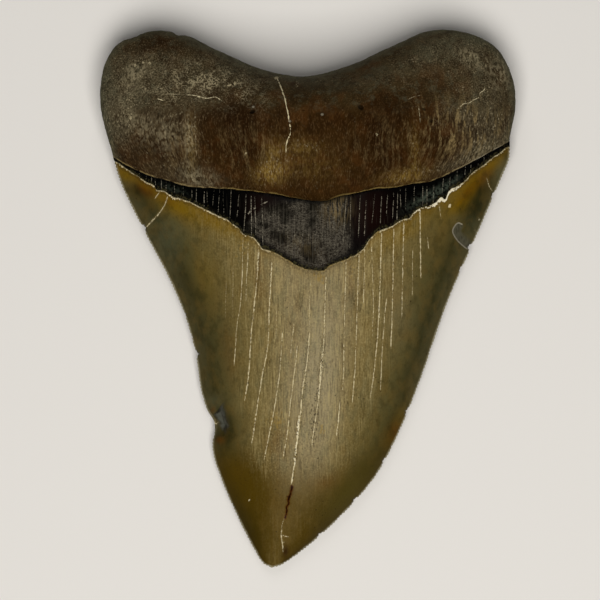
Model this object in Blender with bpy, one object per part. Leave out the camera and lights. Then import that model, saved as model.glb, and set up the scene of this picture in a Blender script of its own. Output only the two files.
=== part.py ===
"""A fossil megalodon tooth lying on its flat labial face, with the lingual face up.

Seen from above, +X is to the right and +Y runs from the tip to the root. The tooth is one solid:
a sheet of triangles is cut to the outline and lifted twice, to the lingual and to the labial face,
and the two faces share the rim. The origin is under the middle of the tooth, on the surface that
the tooth lies on.
"""

import bmesh
import bpy
import numpy as np
from mathutils import Vector
from mathutils.geometry import delaunay_2d_cdt

MM = 0.001  # every dimension below is in millimetres

# The outline from above, as points of smooth curves: (x, y).
RIGHT_EDGE = [(-8.1, -60.0), (-6.0, -59.5), (-2.2, -57.0), (7.2, -48.7), (14.9, -39.9), (19.8, -31.0),
              (24.6, -19.5), (31.4, -0.2), (37.6, 14.0), (42.9, 26.4), (44.9, 31.4), (45.0, 34.0)]
ROOT_EDGE = [(45.0, 34.0), (45.0, 36.0), (46.2, 43.0), (45.3, 50.0), (41.7, 56.1), (34.5, 59.5),
             (27.0, 59.7), (18.6, 56.3), (9.0, 52.0), (-1.0, 49.6), (-10.6, 51.3), (-20.0, 55.4),
             (-26.4, 58.4), (-33.6, 59.8), (-40.4, 58.1), (-44.5, 54.0), (-46.2, 47.0),
             (-46.0, 41.6), (-44.0, 34.0), (-43.4, 31.4)]
LEFT_EDGE = [(-43.4, 31.4), (-41.9, 26.2), (-36.6, 15.2), (-31.0, 4.6), (-27.2, -4.6),
             (-25.0, -13.0), (-23.9, -20.5), (-22.6, -24.6), (-20.9, -27.2), (-20.4, -29.4),
             (-21.3, -31.4), (-21.2, -34.5), (-18.0, -43.7), (-12.0, -56.0), (-9.9, -59.2),
             (-8.1, -60.0)]

# Lines across the tooth, left to right: the root's lower margin and the enamel's upper margins.
ROOT_MARGIN = [(-46.2, 33.6), (-43.3, 31.6), (-37.5, 28.4), (-28.5, 25.6), (-17.4, 24.4),
               (-5.1, 22.8), (2.5, 22.5), (11.6, 23.9), (22.7, 25.8), (32.8, 29.3), (40.6, 33.0),
               (44.9, 35.2), (46.2, 36.0)]
LINGUAL_ENAMEL = [(-43.1, 30.9), (-36.3, 26.4), (-31.8, 23.4), (-24.1, 20.6), (-15.2, 15.9),
                  (-13.6, 13.8), (-8.5, 10.8), (0.4, 7.1), (3.0, 6.7), (8.5, 9.6), (12.2, 11.4),
                  (15.8, 15.4), (24.3, 19.7), (31.4, 24.0), (38.8, 30.0), (44.4, 34.0)]
LABIAL_ENAMEL = [(-43.4, 31.4), (-34.0, 33.6), (-18.0, 37.0), (-5.0, 37.9), (0.0, 37.2),
                 (5.0, 38.0), (18.0, 37.4), (34.0, 35.2), (45.0, 33.6)]

# Heights above the surface that the tooth lies on, along the tooth: (y, z).
RIM_HEIGHT = [(-60.0, 2.1), (-45.0, 2.5), (-10.0, 3.3), (15.0, 4.2), (29.0, 5.0), (34.0, 6.2),
              (42.0, 8.6), (60.0, 8.8)]
CROWN_RIDGE = [(-60.0, 2.3), (-57.5, 3.6), (-52.0, 6.0), (-40.0, 9.8), (-22.0, 14.0),
               (-4.0, 17.2), (10.0, 19.4), (24.0, 21.8), (36.0, 23.8)]
LABIAL_FLOOR = [(-60.0, 1.7), (-57.0, 0.6), (-52.0, -0.04), (-44.0, -0.08), (-36.0, 0.1),
                (-15.0, 0.8), (5.0, 1.2), (25.0, 1.4), (60.0, 1.4)]

DOME_POWER = 2.2  # how square the lingual face of the crown is across
LENS_POWER = 2.6  # the same for its labial face
CREASE_Y = 42.0  # where the lingual face of the root turns from the viewer to the lobes' tops
CREASE_HEIGHT, CREASE_FALL, CREASE_POWER = 25.6, 11.0, 1.8
LOBE_X = 42.0
SLOPE_MIDDLE, SLOPE_LOBE = 0.42, 0.18  # the root's fall from the crease to its upper edge
CREASE_SOFTNESS = 1.2
ROOT_STEP, STEP_ROUND = 1.7, 1.6  # the root's lower lip over the dark band
LIP_FADE = 0.7  # the share of that lip that is gone at the lobes
ROUND_BLEND = 5.0  # the edge's rounding comes in over this width above the lip
BAND_STEP = 0.35  # the crown's enamel over the dark band
LABIAL_STEP = 0.45  # the enamel over the root, on the labial face
UPPER_ROUND, LOWER_ROUND = 7.5, 6.5  # the rounding of the root's edge, above and below its rim
LOBE_FLAT_X, ROOT_DISH = 27.0, 1.5  # the labial face of the root is hollow between the lobes
LABIAL_BLEND = (-9.0, 6.0)  # the labial face turns from crown to root here, from the enamel's edge
LEDGE_WIDTH = 7.0  # how far the step at the labial enamel's edge takes to fade
LEDGE_END = (18.0, 30.0)  # and where it fades towards the sides

SCALLOP_PITCH, SCALLOP_DEPTH = 1.5, 0.2
LUMP_HEIGHT = 0.28  # the low swells of the root's surface
LUMP_BLEND = (0.5, 4.0)  # they come in over this width above the lip
# Hollows: x, y, half length, half width, turn in degrees, depth.
LINGUAL_HOLLOWS = [(34.1, 14.1, 2.8, 1.7, 125.0, 0.5), (-19.4, -27.0, 4.3, 2.2, 97.0, 0.8),
                   (-12.3, 41.3, 1.0, 0.8, 20.0, 0.7), (11.6, 42.4, 0.9, 0.7, 0.0, 0.6),
                   (25.6, 42.0, 1.0, 0.7, 150.0, 0.6), (27.2, 39.4, 1.0, 0.8, 30.0, 0.5)]
LABIAL_HOLLOWS = [(-6.5, 43.5, 1.1, 0.8, 60.0, 0.8), (4.0, 44.5, 0.9, 0.8, 0.0, 0.7),
                  (9.5, 41.8, 1.2, 0.7, 120.0, 0.7), (-17.0, 45.0, 1.0, 0.8, 30.0, 0.6)]

CURVE_STEP, ROOT_STEP_ALONG, LINE_STEP = 0.25, 2.2, 1.3  # point spacing along lines
LINGUAL_SPACING, LABIAL_SPACING = 2.3, 2.8  # point spacing over each face
ROOT_ROWS = (0.5, 1.6, 3.3, 5.4)  # rows of points at these distances inside the root's edge
CROWN_ROWS = (0.9,)  # inside a cutting edge
LIP_ROWS = (-0.1, 0.05, 0.5, 1.6)  # from the crown over the root's lip
LEDGE_ROWS = (-0.12, 0.12)  # at either side of an enamel edge
HOLLOW_RINGS = (0.35, 0.7, 1.0)  # as shares of a hollow's size
HOLLOW_POINTS = 12  # around each ring
RIM_GAP, FILL_GAP = 0.35, 0.55  # the least gap to the rim, and of the lattice as a share of spacing
MERGE = 1e-5

ROOT_COLOUR, ROUGHNESS = (0.115, 0.085, 0.05, 1.0), 0.35


def smooth_curve(points, step=CURVE_STEP):
    """A centripetal Catmull-Rom curve through the points, as many short straight runs."""
    p = np.array(points, float)
    p = np.vstack([2 * p[0] - p[1], p, 2 * p[-1] - p[-2]])
    runs = []
    for a, b, c, d in zip(p, p[1:], p[2:], p[3:]):
        k = np.cumsum([0.0] + [np.linalg.norm(q - r) ** 0.5 for q, r in ((b, a), (c, b), (d, c))])
        count = max(2, round(np.linalg.norm(c - b) / step))
        t = np.linspace(k[1], k[2], count, endpoint=False)[:, None]
        ab = ((k[1] - t) * a + (t - k[0]) * b) / (k[1] - k[0])
        bc = ((k[2] - t) * b + (t - k[1]) * c) / (k[2] - k[1])
        cd = ((k[3] - t) * c + (t - k[2]) * d) / (k[3] - k[2])
        abc = ((k[2] - t) * ab + (t - k[0]) * bc) / (k[2] - k[0])
        bcd = ((k[3] - t) * bc + (t - k[1]) * cd) / (k[3] - k[1])
        runs.append(((k[2] - t) * abc + (t - k[1]) * bcd) / (k[2] - k[1]))
    return np.vstack(runs + [p[-2:-1]])


def along(line, step):
    """Points spread evenly along a line, at about this step, ends included."""
    length = np.r_[0.0, np.cumsum(np.linalg.norm(np.diff(line, axis=0), axis=1))]
    at = np.linspace(0.0, length[-1], round(length[-1] / step) + 1)
    return np.column_stack([np.interp(at, length, line[:, 0]), np.interp(at, length, line[:, 1])])


def normals(line):
    """The unit normal at each point of a line, to the left of its direction."""
    ahead = np.gradient(line, axis=0)
    ahead /= np.linalg.norm(ahead, axis=1)[:, None]
    return np.column_stack([-ahead[:, 1], ahead[:, 0]])


def distance(points, line):
    """How far each point is from a line."""
    a, b = line[:-1], line[1:]
    ab = b - a
    offset = points[:, None] - a
    share = np.clip((offset * ab).sum(2) / (ab * ab).sum(1), 0.0, 1.0)
    return np.linalg.norm(offset - share[..., None] * ab, axis=2).min(1)


def inside(points, loop):
    """Whether each point is inside a closed loop."""
    (x0, y0), (x1, y1) = loop.T, np.roll(loop, -1, axis=0).T
    x, y = points[:, :1], points[:, 1:]
    crosses = (y0 > y) != (y1 > y)
    with np.errstate(divide="ignore", invalid="ignore"):
        to_left = x < x0 + (y - y0) / (y1 - y0) * (x1 - x0)
    return (crosses & to_left).sum(1) % 2 == 1


def ease(low, high, value):
    """0 up to low, 1 from high on, and a smooth step between."""
    share = np.clip((value - low) / (high - low), 0.0, 1.0)
    return share * share * (3.0 - 2.0 * share)


def quarter_round(share):
    """The rise of a quarter circle: 0 at 0, and 1 from 1 on."""
    return np.sqrt(1.0 - (1.0 - np.clip(share, 0.0, 1.0)) ** 2)


LEFT, RIGHT, ROOT = (smooth_curve(line) for line in (LEFT_EDGE, RIGHT_EDGE, ROOT_EDGE))
MARGIN, LINGUAL_LINE, LABIAL_LINE = (
    smooth_curve(line) for line in (ROOT_MARGIN, LINGUAL_ENAMEL, LABIAL_ENAMEL)
)


def profile(points):
    """A smooth height along the tooth as a function of y."""
    line = smooth_curve(points)
    return lambda y: np.interp(y, line[:, 0], line[:, 1])


rim_height, crown_ridge, crown_floor = map(profile, (RIM_HEIGHT, CROWN_RIDGE, LABIAL_FLOOR))


def across(x, y):
    """Where a point is across the crown: -1 on the left edge, 0 midway and 1 on the right edge."""
    left = np.interp(y, LEFT[::-1, 1], LEFT[::-1, 0])
    right = np.interp(y, RIGHT[:, 1], RIGHT[:, 0])
    return np.clip((2 * x - left - right) / (right - left), -1.0, 1.0)


def turned(u, v, degrees):
    """A vector turned counter-clockwise."""
    angle = np.radians(degrees)
    return u * np.cos(angle) - v * np.sin(angle), u * np.sin(angle) + v * np.cos(angle)


def lumps(x, y):
    """The low swells of the root's surface, between -1 and 1."""
    return (
        np.sin(0.61 * x + 1.3 * np.sin(0.37 * y)) * np.sin(0.53 * y + 0.9)
        + 0.6 * np.sin(1.13 * x - 0.71 * y + 2.0) * np.sin(0.31 * x + 0.97 * y)
    ) / 1.6


def hollow(x, y, places):
    """The depth of the chips and nutrient holes at a point."""
    depth = np.zeros_like(x)
    for cx, cy, length, width, turn, deep in places:
        u, v = turned(x - cx, y - cy, -turn)
        depth += deep * (1.0 - ease(HOLLOW_RINGS[0], 1.0, np.hypot(u / length, v / width)))
    return depth


def crown_top(x, y):
    """The lingual face of the crown: a dome between the cutting edges."""
    low = rim_height(y)
    return low + (crown_ridge(y) - low) * (1.0 - np.abs(across(x, y)) ** DOME_POWER)


def root_top(x, y):
    """The lingual face of the root: up from the lip to the crease, and down to the lobes' tops."""
    margin = np.interp(x, *MARGIN.T)
    lobe = np.minimum(np.abs(x) / LOBE_X, 1.1)
    crease = CREASE_HEIGHT - CREASE_FALL * lobe**CREASE_POWER
    lip = ROOT_STEP * (1.0 - LIP_FADE * lobe**2)
    seat = crown_top(x, margin) + lip
    rise = np.clip((y - margin) / (CREASE_Y - margin), 0.0, 1.0)
    past = CREASE_SOFTNESS * np.log1p(np.exp((y - CREASE_Y) / CREASE_SOFTNESS))
    slope = SLOPE_MIDDLE + (SLOPE_LOBE - SLOPE_MIDDLE) * np.minimum(lobe, 1.0)
    height = seat + (crease - seat) * (1.0 - (1.0 - rise) ** 2) - slope * past
    above = y - margin
    height -= lip * (1.0 - quarter_round(above / STEP_ROUND))
    edge = quarter_round(distance(np.column_stack([x, y]), ROOT) / UPPER_ROUND)
    edge = 1.0 + (edge - 1.0) * ease(0.0, ROUND_BLEND, above)
    low = rim_height(y)
    swell = LUMP_HEIGHT * lumps(x, y) * ease(*LUMP_BLEND, above)
    return low + (height - low + swell) * edge


def lingual(x, y):
    """The height of the upper face."""
    enamel = np.interp(x, *LINGUAL_LINE.T)
    crown = crown_top(x, y) - BAND_STEP * ease(*LEDGE_ROWS, y - enamel)
    top = np.where(y > np.interp(x, *MARGIN.T), root_top(x, y), crown)
    return top - hollow(x, y, LINGUAL_HOLLOWS)


def labial(x, y):
    """The height of the lower face, which is flat at 0 where the tooth touches the surface."""
    low = rim_height(y)
    crown = crown_floor(y) + (low - crown_floor(y)) * np.abs(across(x, y)) ** LENS_POWER
    dish = ROOT_DISH * (1.0 - (x / LOBE_FLAT_X) ** 2)
    edge = quarter_round(distance(np.column_stack([x, y]), ROOT) / LOWER_ROUND)
    root = low + (np.maximum(dish, -0.1) - low) * edge
    above = y - np.interp(x, *LABIAL_LINE.T)
    ledge = LABIAL_STEP * ease(*LEDGE_ROWS, above) * (1.0 - ease(0.0, LEDGE_WIDTH, above))
    swell = LUMP_HEIGHT * (0.5 + 0.5 * lumps(y, x)) * ease(*LUMP_BLEND, above) * edge
    relief = (ledge + swell) * (1.0 - ease(*LEDGE_END, np.abs(x)))
    face = crown + (root - crown) * ease(*LABIAL_BLEND, above) + relief
    return np.maximum(face + hollow(x, y, LABIAL_HOLLOWS), 0.0)


def scalloped(line):
    """A cutting edge with its coarse serration: every second point is set in."""
    points = along(line, SCALLOP_PITCH / 2)
    at = np.arange(len(points))
    depth = SCALLOP_DEPTH * (0.75 + 0.25 * np.sin(0.9 * at)) * (at % 2)
    depth[[0, -1]] = 0.0
    return points + normals(points) * depth[:, None]


def outline():
    """The closed outline, counter-clockwise from the tip."""
    edges = scalloped(RIGHT), along(ROOT, ROOT_STEP_ALONG), scalloped(LEFT)
    return np.vstack([edge[:-1] for edge in edges])


def beside(line, step, gaps):
    """Rows of points along a line at these distances to its left."""
    line = along(line, step)
    return np.vstack([line + normals(line) * gap for gap in gaps])


def inner_rows():
    """Rows of points just inside the outline, where the faces curve most."""
    edges = [beside(edge, LINE_STEP, CROWN_ROWS) for edge in (LEFT, RIGHT)]
    return np.vstack(edges + [beside(ROOT, ROOT_STEP_ALONG, ROOT_ROWS)])


def hollow_points(places):
    """Rings of points in each hollow."""
    angle = np.linspace(0.0, 2 * np.pi, HOLLOW_POINTS, endpoint=False)
    share = np.repeat(HOLLOW_RINGS, HOLLOW_POINTS)
    u, v = share * np.tile([np.cos(angle), np.sin(angle)], len(HOLLOW_RINGS))
    rings = []
    for cx, cy, length, width, turn, _ in places:
        x, y = turned(u * length, v * width, turn)
        rings.append(np.column_stack([cx + x, cy + y]))
    return np.vstack(rings)


def lattice(loop, spacing):
    """A triangular lattice over the box of the outline."""
    (x0, y0), (x1, y1) = loop.min(0), loop.max(0)
    x, y = np.meshgrid(np.arange(x0, x1, spacing), np.arange(y0, y1, spacing * np.sin(np.pi / 3)))
    x[::2] += spacing / 2
    return np.column_stack([x.ravel(), y.ravel()])


def clear_of(points, others, gap):
    """The points that are at least this far from all the others."""
    return points[np.linalg.norm(points[:, None] - others, axis=2).min(1) > gap]


def interior(loop, features, spacing):
    """The points that a face is drawn through: its features', and a lattice where there is room."""
    closed = np.vstack([loop, loop[:1]])
    features = features[inside(features, loop)]
    features = features[distance(features, closed) > RIM_GAP]
    fill = lattice(loop, spacing)
    fill = fill[inside(fill, loop)]
    fill = fill[distance(fill, closed) > FILL_GAP * spacing]
    return np.vstack([features, clear_of(fill, features, FILL_GAP * spacing)])


def add_face(bm, rim, points, height, upwards):
    """Adds one face of the tooth: triangles between the rim and these points at their heights."""
    loop = [(v.co.x, v.co.y) for v in rim]
    flat = [Vector(p) for p in loop] + [Vector(p * MM) for p in points]
    edges = [(i, (i + 1) % len(loop)) for i in range(len(loop))]
    found, _, triangles, _, _, _ = delaunay_2d_cdt(flat, edges, [], 1, MERGE * MM)
    x, y = np.array(found)[len(loop):].T / MM
    verts = rim + [bm.verts.new((a * MM, b * MM, c * MM)) for a, b, c in zip(x, y, height(x, y))]
    for triangle in triangles:
        corners = [verts[i] for i in triangle]
        bm.faces.new(corners if upwards else corners[::-1])


def tooth_mesh():
    """The whole tooth as one closed mesh."""
    loop = outline()
    bm = bmesh.new()
    rim = [bm.verts.new((x * MM, y * MM, rim_height(y) * MM)) for x, y in loop]
    upper = [inner_rows(), beside(MARGIN, LINE_STEP, LIP_ROWS),
             beside(LINGUAL_LINE, LINE_STEP, LEDGE_ROWS), hollow_points(LINGUAL_HOLLOWS)]
    lower = [inner_rows(), beside(LABIAL_LINE, LINE_STEP, LEDGE_ROWS),
             hollow_points(LABIAL_HOLLOWS)]
    add_face(bm, rim, interior(loop, np.vstack(upper), LINGUAL_SPACING), lingual, upwards=True)
    add_face(bm, rim, interior(loop, np.vstack(lower), LABIAL_SPACING), labial, upwards=False)
    mesh = bpy.data.meshes.new("tooth")
    bm.to_mesh(mesh)
    bm.free()
    return mesh


def stone_material():
    """Plain brown fossil enamel and bone."""
    material = bpy.data.materials.new("fossil_tooth")
    material.use_nodes = True
    shader = material.node_tree.nodes["Principled BSDF"]
    shader.inputs["Base Color"].default_value = ROOT_COLOUR
    shader.inputs["Roughness"].default_value = ROUGHNESS
    shader.inputs["Metallic"].default_value = 0.0
    return material


def main():
    for obj in list(bpy.data.objects):
        bpy.data.objects.remove(obj, do_unlink=True)
    mesh = tooth_mesh()
    mesh.materials.append(stone_material())
    mesh.shade_smooth()
    mesh.set_sharp_from_angle(angle=np.radians(50))
    tooth = bpy.data.objects.new("tooth", mesh)
    bpy.context.scene.collection.objects.link(tooth)


main()
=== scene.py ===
"""The look of a fossil megalodon tooth that lies on its flat labial face, seen from above.

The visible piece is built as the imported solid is: a sheet of triangles is cut to the outline and
lifted twice, to the lingual and to the labial face. Here it is fine enough for the serration, the
cracks, the chips and the bone's surface. Dimensions are in millimetres, and become metres in the
mesh. Seen from above, +X is to the right and +Y runs from the tip to the root.
"""

from itertools import product
from typing import NamedTuple

import bpy
import numpy as np
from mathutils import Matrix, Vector, kdtree, noise
from mathutils.geometry import delaunay_2d_cdt


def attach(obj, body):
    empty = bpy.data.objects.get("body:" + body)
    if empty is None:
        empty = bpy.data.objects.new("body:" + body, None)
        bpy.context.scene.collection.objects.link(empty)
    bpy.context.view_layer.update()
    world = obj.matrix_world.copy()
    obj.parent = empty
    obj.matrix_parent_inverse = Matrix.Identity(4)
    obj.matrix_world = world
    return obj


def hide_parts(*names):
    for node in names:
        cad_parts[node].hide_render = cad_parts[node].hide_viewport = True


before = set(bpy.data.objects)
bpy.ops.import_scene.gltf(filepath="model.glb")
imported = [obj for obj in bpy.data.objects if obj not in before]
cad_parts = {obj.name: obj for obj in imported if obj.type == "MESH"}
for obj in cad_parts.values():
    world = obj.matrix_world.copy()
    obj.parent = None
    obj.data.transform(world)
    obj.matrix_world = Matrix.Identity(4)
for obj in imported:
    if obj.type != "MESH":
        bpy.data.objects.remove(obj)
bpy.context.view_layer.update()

MM = 0.001
LEAST_WIDTH = 1e-6  # the crown is never taken as narrower

# ---- The form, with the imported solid's own dimensions ----

# The outline from above, as points of smooth curves: (x, y).
RIGHT_EDGE = [(-8.1, -60.0), (-6.0, -59.5), (-2.2, -57.0), (7.2, -48.7), (14.9, -39.9), (19.8, -31.0),
              (24.6, -19.5), (31.4, -0.2), (37.6, 14.0), (42.9, 26.4), (44.9, 31.4), (45.0, 34.0)]
ROOT_EDGE = [(45.0, 34.0), (45.0, 36.0), (46.2, 43.0), (45.3, 50.0), (41.7, 56.1), (34.5, 59.5),
             (27.0, 59.7), (18.6, 56.3), (9.0, 52.0), (-1.0, 49.6), (-10.6, 51.3), (-20.0, 55.4),
             (-26.4, 58.4), (-33.6, 59.8), (-40.4, 58.1), (-44.5, 54.0), (-46.2, 47.0),
             (-46.0, 41.6), (-44.0, 34.0), (-43.4, 31.4)]
LEFT_EDGE = [(-43.4, 31.4), (-41.9, 26.2), (-36.6, 15.2), (-31.0, 4.6), (-27.2, -4.6),
             (-25.0, -13.0), (-23.9, -20.5), (-22.6, -24.6), (-21.0, -27.2), (-20.8, -29.3),
             (-21.3, -31.4), (-21.2, -34.5), (-18.0, -43.7), (-12.0, -56.0), (-9.9, -59.2),
             (-8.1, -60.0)]

# Lines across the tooth, left to right, with their small steps: the root's lower margin and the
# enamel's upper margins.
ROOT_MARGIN = [(-46.2, 33.6), (-43.3, 31.6), (-37.5, 28.4), (-30.5, 26.1), (-26.6, 25.0),
               (-17.4, 24.4), (-11.0, 23.7), (-5.4, 22.9), (-0.4, 21.9), (4.2, 21.8),
               (6.3, 22.6), (11.6, 23.7), (15.0, 24.5), (18.6, 24.7), (22.6, 25.5), (27.0, 26.1),
               (32.8, 28.7), (40.6, 32.8), (44.9, 35.2), (46.2, 36.0)]
LINGUAL_ENAMEL = [(-43.1, 30.9), (-36.3, 26.4), (-34.4, 25.5), (-33.6, 24.3), (-32.2, 24.3),
                  (-30.6, 23.3), (-27.0, 21.9), (-19.9, 18.5), (-15.4, 15.9), (-14.2, 14.4),
                  (-12.1, 13.8), (-10.9, 12.5), (-10.1, 11.3), (-7.9, 10.7), (-3.6, 8.2),
                  (-1.2, 7.1), (1.3, 6.5), (3.5, 6.6), (4.6, 7.3), (8.3, 8.8), (10.8, 10.2),
                  (12.3, 11.4), (13.5, 13.3), (15.7, 15.1), (18.5, 16.2), (20.3, 17.4),
                  (22.5, 18.1), (23.8, 19.6), (28.2, 21.5), (29.6, 22.8), (30.4, 22.1),
                  (31.4, 24.1), (34.6, 26.0), (36.2, 27.8), (40.9, 31.4), (44.4, 34.0)]
LABIAL_ENAMEL = [(-43.4, 31.4), (-34.0, 33.6), (-18.0, 37.0), (-5.0, 37.9), (0.0, 37.2),
                 (5.0, 38.0), (18.0, 37.4), (34.0, 35.2), (45.0, 33.6)]

# Heights above the surface that the tooth lies on, along the tooth: (y, z).
RIM_HEIGHT = [(-60.0, 2.1), (-45.0, 2.5), (-10.0, 3.3), (15.0, 4.2), (29.0, 5.0), (34.0, 6.2),
              (42.0, 8.6), (60.0, 8.8)]
CROWN_RIDGE = [(-60.0, 2.3), (-57.5, 3.6), (-52.0, 6.0), (-40.0, 9.8), (-22.0, 14.0),
               (-4.0, 17.2), (10.0, 19.4), (24.0, 21.8), (36.0, 23.8)]
LABIAL_FLOOR = [(-60.0, 1.7), (-57.0, 0.6), (-52.0, -0.04), (-44.0, -0.08), (-36.0, 0.1),
                (-15.0, 0.8), (5.0, 1.2), (25.0, 1.4), (60.0, 1.4)]

DOME_POWER = 2.2  # how square the lingual face of the crown is across
LENS_POWER = 2.6  # the same for its labial face
CREASE_Y = 42.0  # where the lingual face of the root turns from the viewer to the lobes' tops
CREASE_HEIGHT, CREASE_FALL, CREASE_POWER = 25.6, 11.0, 1.8  # in the middle, and down to the lobes
LOBE_X = 42.0  # the crease has fallen by CREASE_FALL here
LOBE_LIMIT = 1.1  # and falls no more from this many times as far out
SLOPE_MIDDLE, SLOPE_LOBE = 0.42, 0.18  # the root's fall from the crease to its upper edge
CREASE_SOFTNESS = 1.2  # how softly the face turns there
ROOT_STEP, STEP_ROUND = 1.7, 1.6  # the root's lower lip over the dark band
LIP_FADE = 0.7  # the share of that lip that is gone at the lobes
ROUND_BLEND = 5.0  # the edge's rounding comes in over this width above the lip
BAND_STEP = 0.35  # the crown's enamel over the dark band
LABIAL_STEP = 0.45  # the enamel over the root, on the labial face
UPPER_ROUND, LOWER_ROUND = 7.5, 6.5  # the rounding of the root's edge, above and below its rim
LOBE_FLAT_X, ROOT_DISH = 27.0, 1.5  # the labial face of the root is hollow between the lobes
LABIAL_BLEND = (-9.0, 6.0)  # the labial face turns from crown to root here, from the enamel's edge
LEDGE_WIDTH = 7.0  # how far the step at the labial enamel's edge takes to fade
LEDGE_END = (30.0, 18.0)  # towards the sides it is gone from the first, and whole up to the second
LEDGE_RISE = (-0.12, 0.12)  # from below to above an enamel edge
LUMP_HEIGHT = 0.28  # the low swells of the root's surface
LUMP_BLEND = (0.5, 4.0)  # they come in over this width above the lip
FLAT_SINK = -0.1  # the dish may go this low under the lobes, where it is then cut flat at 0

# ---- The fine form ----

BEAD_PITCH, BEAD_DEPTH = 0.78, 0.2  # the serration of the cutting edges
BEAD_REACH, GROOVE_DEPTH = 0.9, 0.1  # how far in from the edge the grooves between beads run
EDGE_FADE = 1.0  # each edge runs out smooth over this length at its ends

# Layers of unevenness: the height, the size and the seed of each, and how far it is drawn out.
SCALLOP_LAYERS = ((0.2, 1.7, 12.5),)  # slower waves of the cutting edges, which are worn
SCALLOP_BLEND = (60.0, -30.0)  # they come in from the root towards the tip
RIPPLE_LAYERS = ((0.12, 2.6, 14.5), (0.072, 0.9, 15.5))  # the root's edge
ENAMEL_FOLDS = ((0.05, 2.2, 6.5, 12.0),)  # the lingual enamel
LABIAL_BUMPS = ((0.1, 1.4, 9.5, 1.6),)  # the labial bone
BUMP_BLEND = 1.5  # its bumps come in over this width above the enamel
KNOB_LAYERS = ((0.16, 1.9, 1.5), (0.09, 0.9, 2.5))  # the lingual bone above its crease
STRAND_LAYERS = ((0.16, 1.1, 3.5, 7.0),)  # and below it, in strands
STRAND_GRAIN = ((0.08, 1.2, 4.5),)
STRAND_STRAY = ((1.3, 9.0, 51.5),)  # how the strands' colour strays to either side
STRAND_SPREAD, STRAND_MIDDLE, STRAND_HALF = 0.09, 41.0, 14.0  # they spread from their middle
CREASE_BLEND = 2.5  # strands turn to knobs over this width on each side of the crease
RELIEF_BLEND = (0.1, 1.6)  # the bone's surface comes in over this width above the lip

# Nicks in the outline: x, y, half width along the edge, depth.
NICKS = [(-36.8, 15.9, 0.8, 0.6), (-25.0, -12.2, 0.8, 0.5), (-27.0, -3.6, 0.6, 0.3),
         (36.4, 11.6, 0.8, 0.7), (41.2, 23.4, 0.9, 0.5), (34.4, 6.9, 0.8, 0.3),
         (22.4, -25.1, 0.9, 0.4), (17.2, -36.2, 0.7, 0.35), (10.9, -45.0, 0.8, 0.4),
         (2.9, -52.9, 0.7, 0.35), (-29.0, 58.9, 0.8, 0.5), (-38.6, 58.9, 2.2, 0.5)]

# Nutrient holes, and small knobs with a negative depth:
# x, y, half length, half width, depth, turn in degrees.
LINGUAL_HOLLOWS = [(-12.3, 41.3, 0.9, 0.5, 0.8, 20), (11.6, 42.3, 0.9, 0.7, 0.7, -30),
                   (25.6, 42.0, 0.6, 0.4, 0.5, 150), (27.2, 39.4, 0.6, 0.5, 0.5, 30),
                   (-12.1, 42.4, 0.5, 0.4, -0.3), (3.1, 40.7, 0.6, 0.5, -0.25),
                   (-4.0, 39.2, 0.45, 0.4, -0.35), (-1.0, 41.6, 0.4, 0.3, 0.3)]
LABIAL_HOLLOWS = [(-6.5, 43.5, 1.1, 0.8, 0.8, 60), (4.0, 44.5, 0.9, 0.8, 0.7),
                  (9.5, 41.8, 1.2, 0.7, 0.7, 120), (-17.0, 45.0, 1.0, 0.8, 0.6, 30)]
HOLLOW_RIM = (1.0, 0.3)  # shares of a hole's size at which it begins and is at its full depth
# Small pale crusts: x, y, half length, half width, strength, turn in degrees.
CRUSTS = [(-17.4, 47.2, 0.6, 0.3, 0.8, 20), (-16.1, 47.6, 0.45, 0.3, 0.8, 50),
          (-7.0, 49.0, 0.6, 0.4, 0.8, 20), (-2.4, 47.5, 0.5, 1.1, 0.35), (-39.3, 40.1, 0.4, 0.35, 0.8),
          (-38.4, 51.9, 0.6, 0.5, 0.6), (-36.5, 52.5, 0.5, 0.45, 0.6), (-35.1, 52.2, 0.55, 0.5, 0.6),
          (-0.4, 33.9, 0.6, 0.5, 0.3), (1.3, 33.4, 0.6, 0.4, 0.3, -30),
          (-13.8, 32.0, 0.9, 0.3, 0.5, 60), (15.2, 36.3, 0.5, 0.4, 0.4),
          (31.5, 20.8, 0.6, 0.4, 0.9, 60), (38.2, 17.9, 0.35, 0.4, 0.45), (37.3, 15.2, 0.3, 0.4, 0.4),
          (-13.2, -44.8, 0.9, 0.22, 0.35, 35), (-12.1, -44.2, 0.5, 0.2, 0.35, -50),
          (-12.7, -42.9, 0.25, 0.25, 0.35), (-9.6, 21.3, 1.2, 0.18, 0.7, 25),
          (-13.0, 19.2, 0.7, 0.25, 0.7, 50), (-11.9, 20.0, 0.6, 0.2, 0.6, 40)]
CRUST_RIM = (1.1, 0.6)  # the same for a crust's thickness

# The chip's sharp rim, from its top round its left side.
CHIP_RIM = [(34.3, 16.7), (33.5, 17.0), (32.8, 16.5), (32.2, 15.2), (32.6, 14.1), (33.5, 12.9),
            (34.4, 12.1), (35.5, 11.3), (36.2, 11.3)]
CHIP_DEPTH = 0.4
CHIP_EDGE = (-0.04, 0.08)  # from outside to inside its rim
CHIP_REACH = (2.6, 1.04)  # it is gone this far in from its rim, and whole up to here
CHIP_END = 0.5  # and it is gone this far past the ends of its rim
# The broken place on the left edge, and its flakes: the direction of each flake's outer end in degrees,
# how far out that end is, the flake's slope, and how light the flake is painted. That lightness is
# painted light and shade by the way each facet faces the light, and a flake with none is painted
# shadow, like the first one under the overhanging enamel.
SCAR = (-19.6, -26.6)
SCAR_FLAKES = [(140.0, 1.9, 0.6, 0.0), (70.0, 3.7, 0.4, 0.6), (14.0, 1.9, 0.35, 0.5),
               (-30.0, 2.9, 0.35, 0.15), (-88.0, 4.0, 0.3, 0.0), (-150.0, 1.5, 0.25, 1.0)]
FLAKE_TURN, FLAKE_END, FLAKE_SLOPE, FLAKE_PAINTED_LIGHT = np.array(SCAR_FLAKES).T
FLAKE_STRAY = (0.25, 1.2, 41.5)  # how their ridges stray: reach, size and seed
SCAR_DEPTH = 0.95
SCAR_BARE = (2.4, 4.4)  # the edge has no serration nearer to the scar's middle than this

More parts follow.
